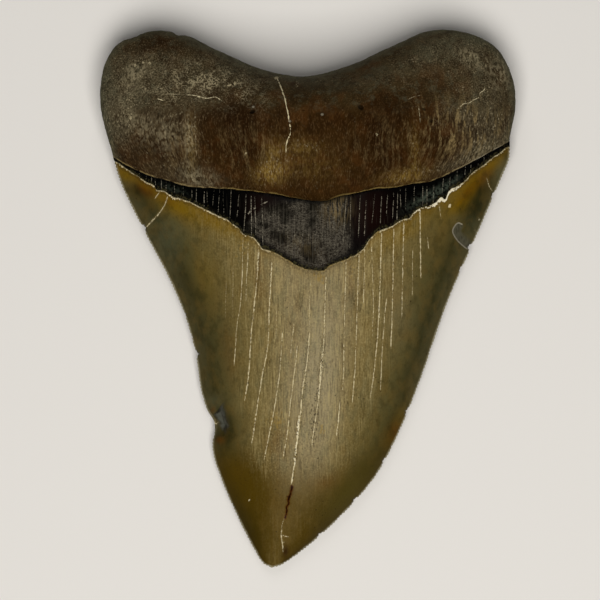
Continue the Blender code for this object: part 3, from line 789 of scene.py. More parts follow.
# Soft spots of a tint: x, y, half length, half width, strength, turn in degrees.
TINTS = {
    # on the enamel
    "amber": [(-41.0, 28.0, 3.0, 1.4, 0.9, -40), (-29.0, 20.4, 6.5, 2.2, 1.0, -32),
              (-19.5, 16.5, 6.0, 1.8, 0.7, -35), (39.5, 28.0, 6.0, 1.7, 1.0, 48),
              (34.0, 22.0, 5.0, 2.4, 0.9, 50), (21.0, 14.5, 8.0, 1.8, 0.6, 34),
              (21.0, -27.5, 2.0, 4.0, 0.4, -25), (-22.5, 5.0, 3.0, 6.0, 0.3, 10)],
    "rust": [(-35.9, 24.8, 2.6, 1.5, 1.0, -42), (39.3, 27.6, 2.6, 1.4, 0.7, 48),
             (-31.0, 21.8, 1.6, 0.8, 0.5, -30), (35.4, 23.7, 3.0, 1.1, 0.6, 50),
             (-7.0, -31.5, 2.4, 3.5, 0.35), (19.4, -29.4, 1.4, 2.4, 0.6, -20),
             (4.0, -40.6, 2.4, 1.6, 0.3, 20), (-10.7, 5.0, 1.3, 7.0, 0.5),
             (-17.5, -12.0, 1.6, 7.0, 0.3, 5), (-19.6, -31.4, 1.0, 0.8, 0.8),
             (9.5, 2.0, 1.0, 6.0, 0.25), (-21.3, -24.7, 0.9, 0.5, 0.6, 60)],
    # two of the olive spots, at (-19.0, -30.6) and (-18.0, -27.0), are painted shade below and beside
    # the broken edge
    "olive": [(-19.0, -30.6, 2.8, 1.7, 0.7), (-38.2, 24.2, 2.0, 1.6, 1.0, -30),
              (-35.6, 12.2, 5.0, 1.1, 0.5, -62), (-18.0, -27.0, 1.6, 4.6, 0.6, 8),
              (-35.4, 20.6, 1.8, 1.4, 0.4), (37.6, 21.4, 3.2, 2.2, 0.55, 60),
              (38.6, 24.4, 1.6, 1.2, 0.4, 50), (40.4, 25.6, 2.6, 2.2, 0.9, 60),
              (43.9, 32.4, 1.0, 1.2, 0.8), (37.0, 19.0, 4.0, 2.4, 0.6, 60),
              (-27.5, 5.0, 2.0, 4.0, 0.3, 20), (-14.0, -49.5, 2.0, 6.0, 0.3, 25)],
    "haze": [(-31.0, 12.0, 3.0, 5.0, 0.5, 20), (42.6, 27.6, 1.6, 4.0, 0.6, -20),
             (36.5, 15.5, 1.6, 3.0, 0.3, -20), (-30.0, 16.0, 4.0, 3.0, 0.35, -40),
             (-20.6, -22.8, 2.4, 1.6, 0.5), (33.0, 17.8, 2.0, 1.4, 0.35), (-9.6, -17.5, 2.0, 4.5, 0.3),
             (13.0, -22.0, 2.5, 4.0, 0.3)],
    "sage": [(9.0, -43.0, 9.0, 3.4, 1.0, 50), (13.0, -30.0, 4.0, 6.0, 0.3)],
    "tan": [(29.5, 14.0, 2.5, 6.0, 0.4, -20), (-12.5, -39.5, 3.5, 2.4, 0.5, -20),
            (3.5, -40.8, 3.2, 1.5, 0.5, 30), (-7.0, -43.0, 2.0, 4.0, 0.5)],
    "honey": [(-14.6, -38.6, 6.0, 4.2, 1.0, -35), (-12.0, -44.0, 4.0, 5.0, 0.7),
              (19.0, -31.5, 2.6, 4.0, 0.8, -25), (-1.0, -53.5, 2.0, 3.0, 0.4)],
    # painted highlight: paler spots on the crown, mostly down its middle, where its gloss catches the
    # light
    "glow": [(19.5, -2.5, 3.5, 7.0, 0.2), (3.4, -17.0, 4.0, 17.0, 0.7, -3),
             (-1.5, -18.0, 2.5, 10.0, 0.3, -5)],
    "grit": [(1.2, -27.0, 1.5, 8.0, 1.0, 4), (-1.0, -33.0, 1.0, 5.0, 0.6, 5),
             (-9.0, 3.0, 1.0, 5.0, 0.3), (2.9, -15.0, 0.7, 7.0, 0.9, -4),
             (-0.7, -16.0, 0.7, 9.0, 0.8, -4)],
    "sand": [(2.4, 5.0, 1.6, 2.2, 0.7), (-7.0, -27.0, 3.0, 2.5, 0.5), (-14.5, 11.0, 2.0, 4.0, 0.4),
             (9.8, 6.0, 1.6, 3.0, 0.4), (3.0, -29.0, 0.8, 1.6, 0.7)],
    "stain": [(-5.0, -56.3, 0.7, 1.5, 1.0, -5), (-3.6, -42.6, 0.5, 1.0, 0.5)],
    # along both margins
    "bare": [(-20.9, -28.0, 2.2, 3.6), (1.0, 22.0, 6.5, 2.0), (1.0, 8.5, 11.0, 5.5),
             (1.0, 8.5, 9.0, 5.0, 0.6)],
    "thick": [(30.6, 22.8, 4.5, 1.6, 1.0, 38), (-29.5, 22.4, 2.0, 1.0, 0.4, -25),
              (24.0, 19.2, 3.0, 1.2, 0.4, 30)],
    # on the band
    "wine": [(-10.0, 20.5, 4.0, 4.0, 0.8), (13.5, 19.0, 5.0, 6.0)],
    "fawn": [(6.3, 20.0, 2.6, 3.2), (-1.0, 12.0, 4.0, 2.0, 0.3, -20)],
    "smoke": [(26.5, 22.6, 4.5, 1.1, 1.0, 30), (31.5, 25.6, 3.0, 0.8, 0.7, 35),
              (-30.0, 24.4, 3.0, 0.8, 0.4, -20)],
    # on the bone
    "dust": [(-39.7, 46.0, 8.0, 9.0), (-26.0, 48.5, 11.0, 6.0, 0.85, -15),
             (-15.0, 50.5, 7.0, 4.0, 0.5, -25), (-43.0, 39.5, 3.5, 6.0, 0.8),
             (-31.4, 37.0, 5.0, 4.0, 0.65, -30), (-25.8, 35.5, 1.6, 6.5, 0.6),
             (-25.6, 27.4, 5.5, 2.2, 0.8, -15), (-34.0, 29.0, 5.0, 2.4, 0.3, -25),
             (37.5, 53.5, 7.0, 6.0, 0.85), (40.0, 43.5, 5.5, 6.0, 0.75), (39.0, 37.5, 5.5, 5.0, 0.7),
             (39.0, 33.0, 5.0, 2.2, 0.9, 25), (32.5, 30.2, 6.0, 1.4, 0.7, 25),
             (32.5, 41.8, 3.5, 3.0, 0.4), (-3.0, 48.8, 16.0, 1.8, 0.3),
             (27.0, 54.0, 9.0, 4.5, 0.5, 20)],
    "umber": [(-33.0, 57.0, 9.0, 2.6, 0.7), (-17.0, 40.3, 6.5, 3.6, 0.9), (-14.2, 34.5, 3.2, 8.0, 0.8),
              (15.0, 37.0, 4.5, 8.0, 0.6), (20.7, 43.0, 6.5, 3.5, 0.75), (29.4, 33.3, 3.0, 3.0, 0.7),
              (-35.2, 34.0, 4.0, 2.0, 0.6, -20), (18.0, 31.0, 3.0, 5.0, 0.4),
              (-33.5, 41.2, 3.5, 1.6, 0.4), (42.0, 51.0, 1.5, 4.0, 0.4, 20)],
    "ochre": [(-8.2, 28.0, 3.2, 2.2, 1.0, 10), (-7.6, 32.0, 2.0, 2.8, 0.45),
              (-1.8, 33.4, 4.5, 2.0, 0.35), (21.6, 27.2, 4.6, 1.6, 0.75, 12),
              (23.6, 33.0, 1.0, 5.0, 0.4), (-25.8, 34.5, 1.2, 6.0, 0.35), (1.0, 29.0, 6.0, 3.0, 0.2)],
    "pale": [(-37.7, 50.4, 3.6, 1.1, 1.0, 50), (-39.7, 50.6, 2.8, 0.9, 0.8, 65),
             (-40.5, 46.0, 3.0, 2.0, 0.4, 40), (-38.0, 38.5, 5.0, 2.6, 0.6, -40),
             (-31.0, 36.5, 4.0, 3.0, 0.5, -40), (-26.4, 36.0, 0.8, 6.0, 0.7),
             (-24.5, 27.0, 4.0, 1.8, 0.7, -12), (35.8, 54.2, 3.4, 1.8, 0.7, -20),
             (39.5, 52.0, 3.0, 1.4, 0.6, -30), (43.4, 50.4, 1.0, 3.2, 0.9, 18),
             (41.5, 48.0, 1.2, 3.0, 0.5, 15), (38.0, 32.4, 5.0, 2.0, 0.6, 25)],
    "wormy": [(-19.0, 47.8, 9.0, 3.6, 1.0, -15), (-31.0, 47.0, 7.0, 4.0, 0.6),
              (-42.0, 40.0, 3.0, 5.0, 0.5), (32.0, 41.0, 5.0, 3.0, 0.2, 20)],
    "streaky": [(33.0, 37.5, 10.0, 6.0), (29.6, 38.0, 0.9, 3.6, 1.0, 12),
                (34.0, 38.4, 1.2, 4.0, 1.0, -8), (16.0, 33.0, 8.0, 6.0, 0.25),
                (-12.0, 33.0, 10.0, 5.0, 0.35), (-30.0, 33.0, 6.0, 5.0, 0.3)],
    # the grey-green spots along the root's upper edge are partly a painted rim of light
    "moss": [(-45.0, 50.0, 2.0, 8.0, 0.8), (-20.0, 55.0, 10.0, 1.6, 0.6, -22),
             (38.0, 58.0, 7.0, 2.2, 0.8), (44.0, 52.0, 1.6, 7.0, 0.6, 15),
             (27.0, 55.5, 6.0, 3.0, 0.7, 25), (15.0, 49.5, 7.0, 2.2, 0.5, 15),
             (3.0, 47.5, 8.0, 1.6, 0.4), (-41.0, 53.5, 2.0, 2.0, 0.4)],
}
# The corners of the band's dull patch, and its border from outside to inside.
PATCH = [(-9.9, 20.4), (-14.4, 15.2), (1.8, 5.4), (9.4, 10.6), (8.9, 22.4), (-3.5, 21.8)]
PATCH_BORDER = (-0.8, 1.6)
PATCH_STRAY = (0.8, 1.3, 31.5)  # how its border strays: reach, size and seed
# Distances are told no further than this.
CRACK_FAR, GAP_FAR, RIM_FAR, LINE_FAR, INSET_FAR = 2.0, 3.0, 2.0, 6.0, 12.0
SCAR_FULL = 0.4  # the depth from which the broken edge is wholly bare
TIP_BLEND, TIP_FLANK = (-31.5, -46.0), 5.0  # the crown turns amber here, sooner on its flanks


def soft_spots(points, places):
    """How strongly a tint shows at each point, from 0 to 1."""
    shown = sum(amount * np.exp(-(share**2)) for amount, share in oval_shares(points, places))
    return np.clip(shown, 0.0, 1.0)


def crusts(points):
    """How thick the small pale crusts are at each point, from 0 to 1."""
    thick = [amount * ease(*CRUST_RIM, share) for amount, share in oval_shares(points, CRUSTS)]
    return np.max(thick, axis=0)


def patch_share(points):
    """1 inside the band's dull patch, fading over its uneven border."""
    points = jostled(points, *PATCH_STRAY)
    corners = np.array(PATCH)
    inside = []
    for a, b in zip(corners, np.roll(corners, -1, axis=0)):
        ahead = (b - a) / np.linalg.norm(b - a)
        inside.append((points - a) @ np.array([-ahead[1], ahead[0]]))
    return ease(*PATCH_BORDER, np.min(inside, axis=0))


def marks(points, cracks, enamel_line):
    """The attributes of these points, by name."""
    distance, strength = crack_marks(points, cracks)
    flank = np.abs(across(points))
    found = {name: soft_spots(points, places) for name, places in TINTS.items()}
    found.update(
        crack=np.minimum(distance, CRACK_FAR),
        crack_strength=strength,
        gap=np.minimum(GAP.distance(points)[0], GAP_FAR),
        over_enamel=np.clip(above(points, enamel_line), -LINE_FAR, LINE_FAR),
        over_margin=np.clip(above(points, MARGIN), -LINE_FAR, LINE_FAR),
        inset=np.clip(inset(points), 0.0, INSET_FAR),
        flank=flank,
        tipward=ease(*TIP_BLEND, points[:, 1] - TIP_FLANK * flank**2),
        crease=over_crease(points),
        scar=ease(0.0, SCAR_FULL, scar(points)),
        scar_light=scar_light(points),
        chip=chip_share(points),
        chip_rim=np.minimum(CHIP_CURVE.distance(points)[0], RIM_FAR),
        hole=hollow(points, LINGUAL_HOLLOWS),
        crust=crusts(points),
        patch=patch_share(points),
        strand_x=strand_x(points) + uneven(points, STRAND_STRAY),
    )
    return found


def labial_marks(points):
    """The attributes of the points of the labial side, without what is only on the lingual one."""
    found = marks(points, LOWER_CRACKS, LABIAL_LINE)
    none = np.zeros(len(points))
    found.update(gap=none + GAP_FAR, chip=none, chip_rim=none + RIM_FAR, crust=none,
                 hole=hollow(points, LABIAL_HOLLOWS))
    return found


ENAMEL, BAND, BONE = range(3)


def regions(points, triangles, enamel_line, has_band):
    """The material of each triangle, from where its middle is."""
    middles = points[triangles].mean(axis=1)
    bone = above(middles, MARGIN if has_band else enamel_line) > 0.0
    band = (above(middles, enamel_line) > 0.0) & ~bone
    return np.where(bone, BONE, np.where(band, BAND, ENAMEL))


def link(name, data):
    """A new object in the scene."""
    obj = bpy.data.objects.new(name, data)
    bpy.context.scene.collection.objects.link(obj)
    return obj


def tooth_piece():
    """The whole tooth as one closed mesh, with its attributes and materials."""
    loop = outline()
    rim = len(loop)
    upper, upper_triangles = upper_sheet(loop)
    lower, lower_triangles = lower_sheet(loop)
    flat = np.vstack([upper, lower[rim:]])
    heights = np.concatenate([rim_height(loop[:, 1]), lingual(upper[rim:]), labial(lower[rim:])])
    moved = np.where(lower_triangles < rim, lower_triangles, lower_triangles + len(upper) - rim)
    triangles = np.vstack([upper_triangles, moved[:, ::-1]])
    mesh = bpy.data.meshes.new("tooth_surface")
    mesh.from_pydata((np.column_stack([flat, heights]) * MM).tolist(), [], triangles.tolist())

    over, under = marks(upper, UPPER_CRACKS, LINGUAL_LINE), labial_marks(lower[rim:])
    for name in over:
        values = np.concatenate([over[name], under[name]]).astype(np.float32)
        mesh.attributes.new(name, "FLOAT", "POINT").data.foreach_set("value", values)
    for material in (enamel_material(), band_material(), bone_material()):
        mesh.materials.append(material)
    slots = np.concatenate([regions(upper, upper_triangles, LINGUAL_LINE, True),
                            regions(lower, lower_triangles, LABIAL_LINE, False)])
    mesh.polygons.foreach_set("material_index", slots)
    mesh.shade_smooth()
    mesh.set_sharp_from_angle(angle=np.radians(SHARP_ANGLE))
    return link("tooth_surface", mesh)


# ---- Materials ----


def tone(red, green, blue):
    """A colour given as it looks on a screen, from 0 to 255, as a linear one."""
    share = np.array([red, green, blue]) / 255.0
    linear = np.where(share > 0.04045, ((share + 0.055) / 1.055) ** 2.4, share / 12.92)
    return (*linear.tolist(), 1.0)


# The enamel's colour from the middle of the crown, 0, to its cutting edges, 1. It is partly the
# enamel's own olive and partly painted light: a painted sheen in the pale middle, painted shade
# darkening the flanks most near 0.88, and a painted rim of light at the very edge.
CROWN_ACROSS = [(0.0, tone(138, 124, 88)), (0.2, tone(134, 119, 82)), (0.4, tone(124, 108, 66)),
                (0.6, tone(106, 93, 54)), (0.78, tone(80, 73, 40)), (0.88, tone(56, 53, 27)),
                (1.0, tone(76, 70, 42))]
TIP_ACROSS = [(0.0, tone(86, 69, 25)), (0.4, tone(75, 59, 15)), (0.7, tone(62, 48, 6)),
              (0.88, tone(57, 44, 6)), (1.0, tone(62, 50, 18))]
# Some tones stand only for light: a painted highlight on the crown, a painted rim of light on the
# cutting edges, and the painted light on the broken edge's flakes. The grey-green of the bone is partly
# a painted rim of light.
TONES = {
    # of the enamel
    "amber": tone(114, 88, 6), "rust": tone(80, 46, 2), "sage": tone(74, 65, 24),
    "honey": tone(72, 55, 5), "olive": tone(34, 33, 8), "mustard": tone(116, 88, 14),
    "glow": tone(154, 144, 114), "haze": tone(84, 88, 66), "stain": tone(40, 20, 2),
    "tan": tone(104, 82, 36), "straw": tone(168, 152, 104), "loam": tone(52, 38, 12),
    "cream": tone(216, 204, 166), "sand": tone(150, 128, 74), "ivory": tone(236, 228, 200),
    "grit": tone(34, 22, 8), "gold": tone(146, 120, 58), "edge_highlight": tone(168, 162, 134),
    "gap": tone(26, 10, 2), "gap_edge": tone(74, 34, 8), "scar_dark": tone(26, 27, 22),
    "scar_light": tone(92, 94, 84), "chip": tone(78, 76, 61), "chip_dark": tone(48, 45, 32),
    # of the band
    "jet": tone(2, 2, 2), "wine": tone(24, 8, 4), "fawn": tone(126, 108, 72),
    "smoke": tone(74, 82, 70), "ash": tone(80, 76, 66), "soot": tone(14, 12, 8),
    "mauve": tone(70, 58, 52), "silver": tone(150, 144, 126), "olive_grey": tone(64, 60, 36),
    # of the bone
    "chestnut": tone(49, 31, 9), "umber": tone(30, 16, 4), "dust": tone(76, 69, 51),
    "ochre": tone(100, 76, 32), "drab": tone(60, 50, 29), "russet": tone(74, 44, 16),
    "bone_fleck": tone(168, 156, 124), "warm_fleck": tone(124, 88, 44), "pit": tone(8, 5, 2),
    "moss": tone(86, 86, 68),
}


class Value:
    """A node's output. Sums, differences and products of values are nodes too."""

    def __init__(self, paint, socket):
        self.paint = paint
        self.socket = socket

    def __add__(self, other):
        return self.paint.math("ADD", self, other)

    def __sub__(self, other):
        return self.paint.math("SUBTRACT", self, other)

    def __rsub__(self, other):
        return self.paint.math("SUBTRACT", other, self)

    def __mul__(self, other):
        return self.paint.math("MULTIPLY", self, other)


class Paint:
    """The node tree of one material, with colour laid over colour by short calls."""

    def __init__(self, name):
        self.material = bpy.data.materials.new(name)
        self.material.use_nodes = True
        self.tree = self.material.node_tree
        self.shader = self.tree.nodes["Principled BSDF"]
        self.place = self.scaled(self.node("TexCoord").outputs["Object"], 1.0 / MM)
        self.colour = None

    def node(self, kind, **settings):
        """A new node, with its own settings."""
        node = self.tree.nodes.new("ShaderNode" + kind)
        for name, value in settings.items():
            setattr(node, name, value)
        return node

    def put(self, node, values):
        """Gives a node's inputs, by name or number, their values or what to follow."""
        for name, value in values.items():
            socket = value.socket if isinstance(value, Value) else value
            if isinstance(socket, bpy.types.NodeSocket):
                self.tree.links.new(socket, node.inputs[name])
            else:
                node.inputs[name].default_value = value

    def scaled(self, vector, x, y=None):
        """A place with its parts multiplied, by y for all but the first of them."""
        node = self.node("VectorMath", operation="MULTIPLY")
        self.put(node, {0: vector, 1: (x, y or x, y or x)})
        return node.outputs[0]

    def mark(self, name):
        """An attribute of the mesh."""
        return Value(self, self.node("Attribute", attribute_name=name).outputs["Fac"])

    def math(self, operation, first, second=0.0):
        """A sum, a product and so on."""
        node = self.node("Math", operation=operation)
        self.put(node, {0: first, 1: second})
        return Value(self, node.outputs[0])

    def step(self, value, low, high, ends=(0.0, 1.0)):
        """A smooth step of a value, from low to high."""
        node = self.node("MapRange", interpolation_type="SMOOTHSTEP")
        names = ("Value", "From Min", "From Max", "To Min", "To Max")
        self.put(node, dict(zip(names, (value, low, high, *ends))))
        return Value(self, node.outputs[0])

    def noise(self, size, stretch=1.0, detail=2.0, rough=0.5, shift=0.0, place=None):
        """Noise from 0 to 1 in swells of this size, drawn out along Y by stretch."""
        node = self.node("TexNoise", noise_dimensions="4D")
        vector = self.scaled(place or self.place, 1.0 / size, 1.0 / (size * stretch))
        self.put(node, {"Vector": vector, "W": shift, "Scale": 1.0, "Detail": detail,
                        "Roughness": rough})
        return Value(self, node.outputs["Fac"])

    def patches(self, size, low, high, ends=(0.0, 1.0), **noise):
        """Patches of noise: 0 where it is under low, and 1 where it is over high."""
        return self.step(self.noise(size, **noise), low, high, ends)

    def threads(self, size, width, **noise):
        """Thin winding lines, about this far apart: 1 on a line."""
        return self.step(self.math("ABSOLUTE", self.noise(size, **noise) - 0.5), width, 0.3 * width)

    def crumbled(self, share, size, **noise):
        """Fine crumbs, which fill more of a place the larger its share is."""
        crumbs = self.step(self.noise(size, **noise) + share * 0.45, 0.7, 0.8)
        return crumbs * self.step(share, 0.0, 0.2)

    def dots(self, size, low, high):
        """Scattered dots: 1 in the middle of each, and 0 outside. Radii are shares of the spacing."""
        node = self.node("TexVoronoi")
        self.put(node, {"Vector": self.scaled(self.place, 1.0 / size), "Scale": 1.0})
        return self.step(Value(self, node.outputs["Distance"]), high, low)

    def shaken(self, value, size, reach, shift=0.0):
        """A value moved up and down by fine noise, by up to about half this reach."""
        return value + (self.noise(size, shift=shift) - 0.5) * reach

    def jagged(self, value, fine, coarse, shift):
        """A value shaken twice. Each shaking is a size and a reach."""
        return self.shaken(self.shaken(value, *fine, shift), *coarse, shift + 10.0)

    def mix(self, share, first, second):
        """The first colour at 0 and the second at 1."""
        node = self.node("Mix", data_type="RGBA")
        colours = [number for number, socket in enumerate(node.inputs) if socket.type == "RGBA"]
        self.put(node, dict(zip((0, *colours), (share, first, second))))
        return next(socket for socket in node.outputs if socket.type == "RGBA")

    def ramp(self, value, stops):
        """A colour that changes with a value, through (value, colour) stops."""
        node = self.node("ValToRGB")
        self.put(node, {0: value})
        elements = node.color_ramp.elements
        for _ in stops[2:]:
            elements.new(0.5)
        for element, (position, colour) in zip(elements, stops):
            element.position = position
            element.color = colour
        return node.outputs[0]

    def lay(self, share, strength, tone_name):
        """Lays one of the tones over the colour so far, by a share of this strength."""
        self.colour = self.mix(share * strength, self.colour, TONES[tone_name])

    def tint(self, **strengths):
        """Lays the tones of these names over the places that are marked with the same names."""
        for name, strength in strengths.items():
            self.lay(self.mark(name), strength, name)

    def crust(self, strength, tone_name):
        """Lays the small crumbly crusts over the colour so far."""
        self.lay(self.crumbled(self.mark("crust"), 0.4, shift=37.0), strength, tone_name)

    def strands(self):
        """The place, with X bent to follow the sides of the root's lobes."""
        split, join = self.node("SeparateXYZ"), self.node("CombineXYZ")
        self.put(split, {0: self.place})
        self.put(join, {0: self.mark("strand_x"), 1: split.outputs[1], 2: split.outputs[2]})
        return join.outputs[0]

    def finish(self, roughness, relief, depth, specular):
        """Sets the shader. The relief is from 0 to 1, and stands for this depth in millimetres."""
        bump = self.node("Bump")
        self.put(bump, {"Distance": depth * MM, "Height": relief})
        self.put(self.shader, {"Base Color": self.colour, "Roughness": roughness,
                               "Normal": bump.outputs[0], "Specular IOR Level": specular})
        return self.material


def crack_line(paint, width):
    """How much a crack shows: 1 in its middle. It is beaded, and thin where it is weak."""
    strength = paint.mark("crack_strength")
    beads = paint.patches(0.6, 0.35, 0.65, (0.25, 1.8), stretch=1.4, detail=3.0, shift=3.0)
    half = paint.math("MAXIMUM", strength * beads * width, 0.02)
    away = paint.shaken(paint.mark("crack"), 0.3, 0.3, shift=13.0)
    return paint.step(paint.math("DIVIDE", away, half), 1.0, 0.3) * paint.step(strength, 0.0, 0.5)


def enamel_ground(paint):
    """Tan in the middle of the crown, olive at its flanks and amber at the tip, and mottled. The pale
    middle is partly a painted sheen and the darker flanks are partly painted shade.
    """
    flank, tipward = paint.mark("flank"), paint.mark("tipward")
    outward = paint.shaken(flank, 7.0, 0.16)
    crown, tip = paint.ramp(outward, CROWN_ACROSS), paint.ramp(outward, TIP_ACROSS)
    paint.colour = paint.mix(paint.shaken(tipward, 4.0, 0.3), crown, tip)
    inner = paint.step(flank, 0.9, 0.5, (0.25, 1.0))
    paint.lay(inner * paint.patches(5.0, 0.5, 0.72, stretch=1.8, shift=5.0), 0.35, "tan")
    paint.lay(inner * paint.patches(1.6, 0.48, 0.68, stretch=2.0, shift=39.0), 0.22, "tan")
    # these tints include a painted highlight down the middle of the crown
    paint.tint(glow=0.75, sage=0.8, tan=0.7, honey=0.95, amber=0.97, olive=0.97, rust=0.97, haze=0.6)
    outer = paint.step(flank, 0.35, 0.75) * (1.0 - tipward)
    pale = paint.patches(2.4, 0.44, 0.62, stretch=1.5, detail=6.0, shift=53.0)
    paint.lay(outer * pale, 0.22, "tan")
    dark = paint.patches(1.6, 0.48, 0.66, stretch=1.5, detail=6.0, shift=54.0)
    paint.lay(outer * dark, 0.32, "olive")


def enamel_fibres(paint, fibres, grain, middle):
    """Fibres and fine grain, clearest in the middle of the crown, with a painted sheen in patches over
    the fibres, and scattered grit.
    """
    # painted sheen: paler straw fibres in soft patches down the middle of the crown
    painted_sheen = middle * paint.patches(3.5, 0.42, 0.62, stretch=7.0, shift=2.0)
    paint.lay(painted_sheen * paint.step(fibres, 0.5, 0.6), 0.38, "straw")
    paint.lay(middle * paint.step(fibres, 0.48, 0.38), 0.36, "loam")
    paint.lay(middle * paint.patches(1.3, 0.46, 0.66, stretch=3.0, shift=38.0), 0.25, "haze")
    hairs = paint.threads(1.1, 0.028, stretch=20.0, detail=1.0, shift=17.0)
    paint.lay(middle * hairs * paint.patches(4.0, 0.45, 0.6, shift=19.0), 0.45, "straw")
    dark_hairs = paint.threads(1.3, 0.02, stretch=12.0, detail=2.0, shift=49.0)
    paint.lay(middle * dark_hairs * paint.patches(3.0, 0.42, 0.6, shift=50.0), 0.45, "loam")
    paint.lay(middle * paint.step(grain, 0.52, 0.66), 0.4, "straw")
    paint.lay(paint.step(grain, 0.47, 0.34), 0.28, "loam")
    paint.lay(paint.dots(1.7, 0.05, 0.12) * paint.patches(5.0, 0.5, 0.6, shift=15.0), 0.8, "grit")
    paint.lay(paint.dots(0.55, 0.15, 0.4) * paint.mark("grit"), 0.85, "grit")
    paint.lay(paint.crumbled(paint.mark("sand"), 0.5, stretch=1.5, shift=36.0), 0.5, "gold")


def enamel_breaks(paint, bare):
    """The broken edge with painted light and shade on its flakes, the chip, and a painted highlight
    along the cutting edges.
    """
    scar = paint.step(paint.shaken(paint.mark("scar"), 0.8, 0.5, shift=43.0), 0.0, 0.9)
    paint.lay(scar, 0.88, "scar_dark")
    streaks = paint.patches(0.5, 0.42, 0.6, stretch=3.0, detail=3.0, shift=18.0)
    paint.lay(scar * streaks * paint.patches(2.0, 0.35, 0.6, shift=48.0), 0.5, "ash")
    # painted light and shade: each flake of the broken edge is lighter or darker by the way it faces
    # the light
    light = scar * paint.mark("scar_light")
    paint.lay(light * paint.patches(1.3, 0.35, 0.6, shift=28.0), 0.6, "scar_light")
    chip = paint.mark("chip")
    paint.lay(chip, 0.9, "chip")
    paint.lay(chip * paint.patches(0.35, 0.45, 0.6, stretch=4.0), 0.6, "chip_dark")
    paint.lay(paint.step(paint.mark("chip_rim"), 0.2, 0.08), 0.75, "silver")
    # painted highlight: a thin pale rim of light along the cutting edges, kept off where the edge is
    # broken
    edge = paint.step(paint.shaken(paint.mark("inset"), 1.2, 0.4), 0.55, 0.2)
    paint.lay(edge * (1.0 - bare * 0.85), 0.6, "edge_highlight")


def enamel_margin(paint, bare):
    """The pale crumbly edge of the enamel towards the dark band, with a stain below it."""
    over = paint.mark("over_enamel")
    stained = paint.step(paint.shaken(over, 2.0, 1.5, shift=14.0), -2.8, -0.8)
    paint.lay(stained * (1.0 - bare * 0.7), 0.4, "mustard")
    paint.lay(paint.crumbled(paint.step(over, -1.8, 0.0), 0.4, shift=34.0), 0.4, "loam")
    lip = paint.jagged(over, (0.4, 0.6), (2.6, 0.5), shift=2.0)
    paint.lay(paint.step(lip, -0.4, -0.15), 0.7, "sand")
    kept = (1.0 - bare * 0.85) * paint.patches(1.1, 0.36, 0.56, shift=42.0)
    paint.lay(kept * paint.crumbled(paint.step(lip, -0.6, -0.05), 0.35, shift=44.0), 0.9, "cream")
    paint.lay(paint.crumbled(paint.step(over, -0.6, 0.2), 0.3, shift=41.0), 0.6, "soot")
    thick = paint.step(lip, -1.2, -0.4) * paint.mark("thick")
    paint.lay(paint.crumbled(thick, 0.5, shift=45.0), 0.95, "ivory")


def enamel_cracks(paint, line, middle):
    """Pale cracks, shaded and pitted beside, and the dark one that is open."""
    away, strength = paint.mark("crack"), paint.mark("crack_strength")
    near = paint.step(away, 0.45, 0.12) * strength
    paint.lay(near, 0.25, "sand")
    shade = paint.step(away, 0.6, 0.3) * (1.0 - near) * strength
    paint.lay(shade * middle * paint.patches(0.8, 0.42, 0.6, stretch=4.0, shift=52.0), 0.4, "loam")
    paint.lay(line, 0.8, "cream")
    paint.lay(line * paint.step(strength, 0.95, 1.4), 0.6, "ivory")
    pits = paint.step(away, 1.0, 0.5) * paint.mark("grit") * (1.0 - line)
    paint.lay(pits * paint.dots(0.5, 0.2, 0.45), 0.95, "grit")
    paint.lay(near * paint.patches(0.3, 0.55, 0.61, stretch=1.8, shift=9.0), 0.7, "grit")
    paint.tint(stain=0.9)
    gap = paint.jagged(paint.mark("gap"), (0.4, 0.4), (1.4, 0.6), shift=6.0)
    paint.lay(paint.step(gap, 0.42, 0.2), 0.8, "gap_edge")
    paint.lay(paint.step(gap, 0.2, 0.08), 0.95, "gap")


def enamel_material():
    """Glossy tan enamel, darker and olive at the flanks, the darkening partly painted shade, and amber
    at the tip, finely cracked.
    """
    paint = Paint("crown_enamel")
    bare, line = paint.mark("bare"), crack_line(paint, 0.15)
    middle = paint.step(paint.mark("flank"), 0.8, 0.3)
    middle = middle * paint.step(paint.mark("tipward"), 0.9, 0.1, (0.12, 1.0))
    fibres = paint.noise(0.3, stretch=13.0, detail=3.0, rough=0.6, shift=1.0)
    grain = paint.noise(0.36, stretch=1.3, rough=0.7, shift=11.0)
    enamel_ground(paint)
    enamel_fibres(paint, fibres, grain, middle)
    enamel_breaks(paint, bare)
    enamel_margin(paint, bare)
    enamel_cracks(paint, line, middle)
    paint.crust(0.85, "cream")
    matt = paint.patches(3.0, 0.3, 0.7, (0.34, 0.46), stretch=3.0, shift=4.0)
    return paint.finish(matt + line * 0.3, fibres * 0.5 + grain * 0.35, depth=0.05, specular=0.04)


